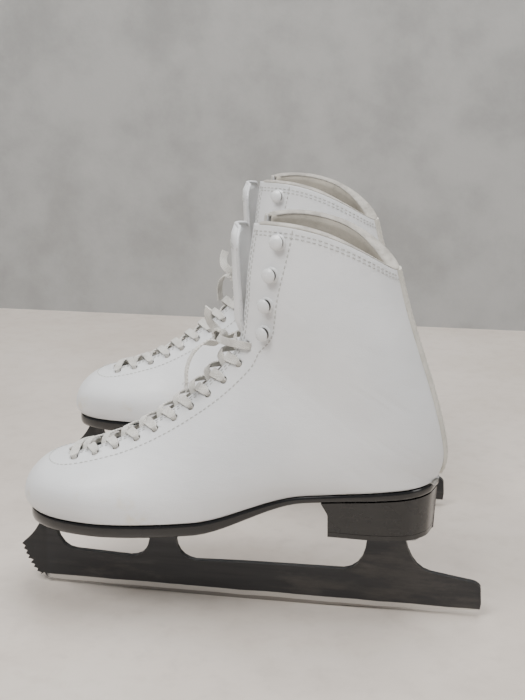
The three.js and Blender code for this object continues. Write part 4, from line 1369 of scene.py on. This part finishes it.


# ---- Hooks ----------------------------------------------------------------------------------

# The hook from the leather outwards: height, radius and slot (0 enamel, 1 the dark neck, whose dark grey
# is partly the neck's own steel and partly painted shadow under the dome).
HOOK_OUTLINE = (
    (-0.3, 4.5, 0),
    (0.35, 4.55, 0),
    (0.75, 4.3, 0),
    (0.95, 3.4, 0),
    (1.0, 2.1, 1),
    (1.8, 1.6, 1),
    (2.7, 1.75, 1),
    (3.1, 2.6, 1),
    (3.15, 3.9, 0),
    (3.5, 4.2, 0),
    (3.95, 4.05, 0),
    (4.5, 3.5, 0),
    (4.95, 2.6, 0),
    (5.25, 1.5, 0),
    (5.38, 0.4, 0),
)
HOOK_SIDES = 28
# The dark neck stands off the dome's middle, so its dark grey shows beside the dome as painted shadow as
# well as neck.
HOOK_MOUTH = 0.9  # how far the neck stands behind the dome's middle


def hook_shape(u, side):
    a = around_to(u, side, throat_half(u) + HOOK_FROM_EDGE)
    seat, normal = boot_surface(u, a), boot_normal(u, a)
    back = (boot_surface(u, a + side * 0.02) - seat).normalized()
    other = normal.cross(back)
    rings, slots = [], []
    for height, radius, slot in HOOK_OUTLINE:
        middle = seat + normal * height + back * (HOOK_MOUTH if slot else 0)
        rings.append([
            middle + (back * math.cos(q) + other * math.sin(q) * (0.8 if slot else 1)) * radius
            for q in turns(HOOK_SIDES)
        ])
        slots.append(slot)
    shape = Shape()
    shape.tube(rings)
    bands = [max(pair) for pair in zip(slots, slots[1:])]
    shape.slots = [slot for slot in bands for _ in range(HOOK_SIDES)] + [0, 0]
    return shape


def make_hooks(materials):
    for way, side in (("outer", -1), ("inner", 1)):
        for i, u in enumerate(HOOK_SECTIONS, 1):
            shape = hook_shape(u, side)
            for skate in SKATES:
                hook = shape.build(f"lace_hook_{way}_{i}", skate, materials, angle=50)
                finish_piece(hook, skate.body(), "enamel", skate.node(f"hook_{way}_{i}"))


# ---- Sole and heel --------------------------------------------------------------------------

# The sole's edge from the bottom up: outset and share of the thickness.
SOLE_EDGE = (
    (-1.6, 0),
    (-0.5, 0.04),
    (0.35, 0.16),
    (0.85, 0.35),
    (1.0, 0.6),
    (0.9, 0.85),
    (0.5, 0.98),
    (-0.8, 1.0),
)


def eased(low, high, steps):
    """Steps from low to high that are closer together at both ends."""
    whole = 2 * math.pi
    return [low + (high - low) * (t - 0.6 * math.sin(whole * t) / whole) for t in spread(0, 1, steps)]


def make_outsoles(material):
    rings = []
    for u in eased(0, HEEL_SECTION, 110):
        ring = []
        for side, edge in ((-1, SOLE_EDGE), (1, tuple(reversed(SOLE_EDGE)))):
            for outset, share in edge:
                flat = rim(u, side, SOLE_LIP * outset)
                low, high = sole_bottom(flat.x), sole_top(flat.x)
                ring.append(Vector((flat.x, flat.y, low + (high - low) * share)))
        rings.append(ring)
    shape = Shape()
    shape.tube(rings)
    for skate in SKATES:
        add_piece(shape, "sole_layer", skate, material, "sole_leather", 50, "outsole")


def heel_ring(height_at):
    """The heel's outline at one level, outer side first; height_at gives the level at an x."""
    ring = []
    us = eased(HEEL_FRONT_SECTION, HEEL_SECTION, 36)
    for side, order in ((-1, us), (1, list(reversed(us))[1:])):
        for u in order:
            flat = rim(u, side, 0)
            top = sole_bottom(flat.x) - 0.3
            z = height_at(flat.x)
            down = (top - z) / (top - HEEL_HEIGHT)
            inner = rim(u, side, -HEEL_TAPER * down)
            ahead = max(1 - (u - HEEL_FRONT_SECTION) / 0.25, 0)
            lean = HEEL_RAKE * min(down * 3, 1) * ahead
            ring.append(Vector((inner.x + lean, inner.y, z)))
    return ring


def make_heels(stack, lift):
    lift_top = HEEL_HEIGHT + HEEL_LIFT

    def level(t):
        return lambda x: (sole_bottom(x) - 0.3) * (1 - t) + (lift_top + 0.2) * t

    block, tread = Shape(), Shape()
    block.tube([heel_ring(level(t)) for t in spread(0, 1, 14)])
    tread.tube([heel_ring(lambda x, z=z: z) for z in (lift_top, HEEL_HEIGHT + 0.5, HEEL_HEIGHT)])
    for skate in SKATES:
        add_piece(block, "heel_stack", skate, stack, "heel_lacquer", 35, "heel")
        add_piece(tread, "heel_tread", skate, lift, "heel_rubber", 35, "heel_lift")


# ---- CAD pieces that keep their shape -------------------------------------------------------


def dress_cad():
    steel = plate_steel()
    screw = plate_steel("screw_steel", (0.42, 0.42, 0.43, 1))
    fibre = board("fibre_board", (0.36, 0.25, 0.15, 1), (0.26, 0.18, 0.11, 1))
    felt = board("felt", (0.46, 0.43, 0.38, 1), (0.34, 0.32, 0.28, 1))
    looks = {name: steel for name in ("sole_plate", "heel_plate", "shank")}
    looks |= {"insole": fibre, "heel_counter": fibre, "footbed": felt}
    for skate in SKATES:
        low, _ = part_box(skate.node("runner"))
        looks["runner"] = blade_steel(f"blade_steel_{skate.name}", low[0])
        for name, material in looks.items():
            wear(skate.node(name), material)
    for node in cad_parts:
        if "_screw_" in node:
            wear(node, screw)


def wear(node, material):
    piece = bpy.data.objects[node]
    piece.data.materials.clear()
    piece.data.materials.append(material)


# ---- The scene ------------------------------------------------------------------------------

make_camera()
make_laces(
    woven("woven_lace", (0.90, 0.885, 0.84, 1), (0.64, 0.625, 0.58, 1)),
    thread("lace_thread", (0.74, 0.73, 0.70, 1)),
)
make_stage()
make_lights()

LEATHER = white_leather()
THREAD = thread("white_thread", (0.62, 0.62, 0.60, 1))
make_uppers(LEATHER, worn_leather("cut_edge", (0.62, 0.60, 0.56, 1), (0.42, 0.40, 0.36, 1)))
make_linings(worn_leather("inner_leather", (0.52, 0.48, 0.41, 1), (0.38, 0.35, 0.30, 1), scale=40))
make_collars(worn_leather("collar_leather", (0.50, 0.475, 0.43, 1), (0.33, 0.31, 0.28, 1), scale=90))
make_backstays(
    worn_leather("strip_leather", (0.68, 0.66, 0.60, 1), (0.56, 0.54, 0.48, 1), scale=70, rough=0.6)
)
make_stitching(THREAD, thread("strip_thread", (0.55, 0.52, 0.45, 1)))
make_tongues(LEATHER)
PIPING_LEATHER = worn_leather("piping", (0.76, 0.77, 0.79, 1), (0.64, 0.65, 0.67, 1), rough=0.5)
make_tongue_tops(LEATHER, PIPING_LEATHER, THREAD)
make_hooks([enamel(), hook_neck_and_shadow()])
make_outsoles(lacquer("sole_lacquer", (0.09, 0.06, 0.04, 1)))
make_heels(edge_bands((0.05, 0.04, 0.035, 1)), lacquer("heel_rubber", (0.05, 0.05, 0.05, 1)))
dress_cad()
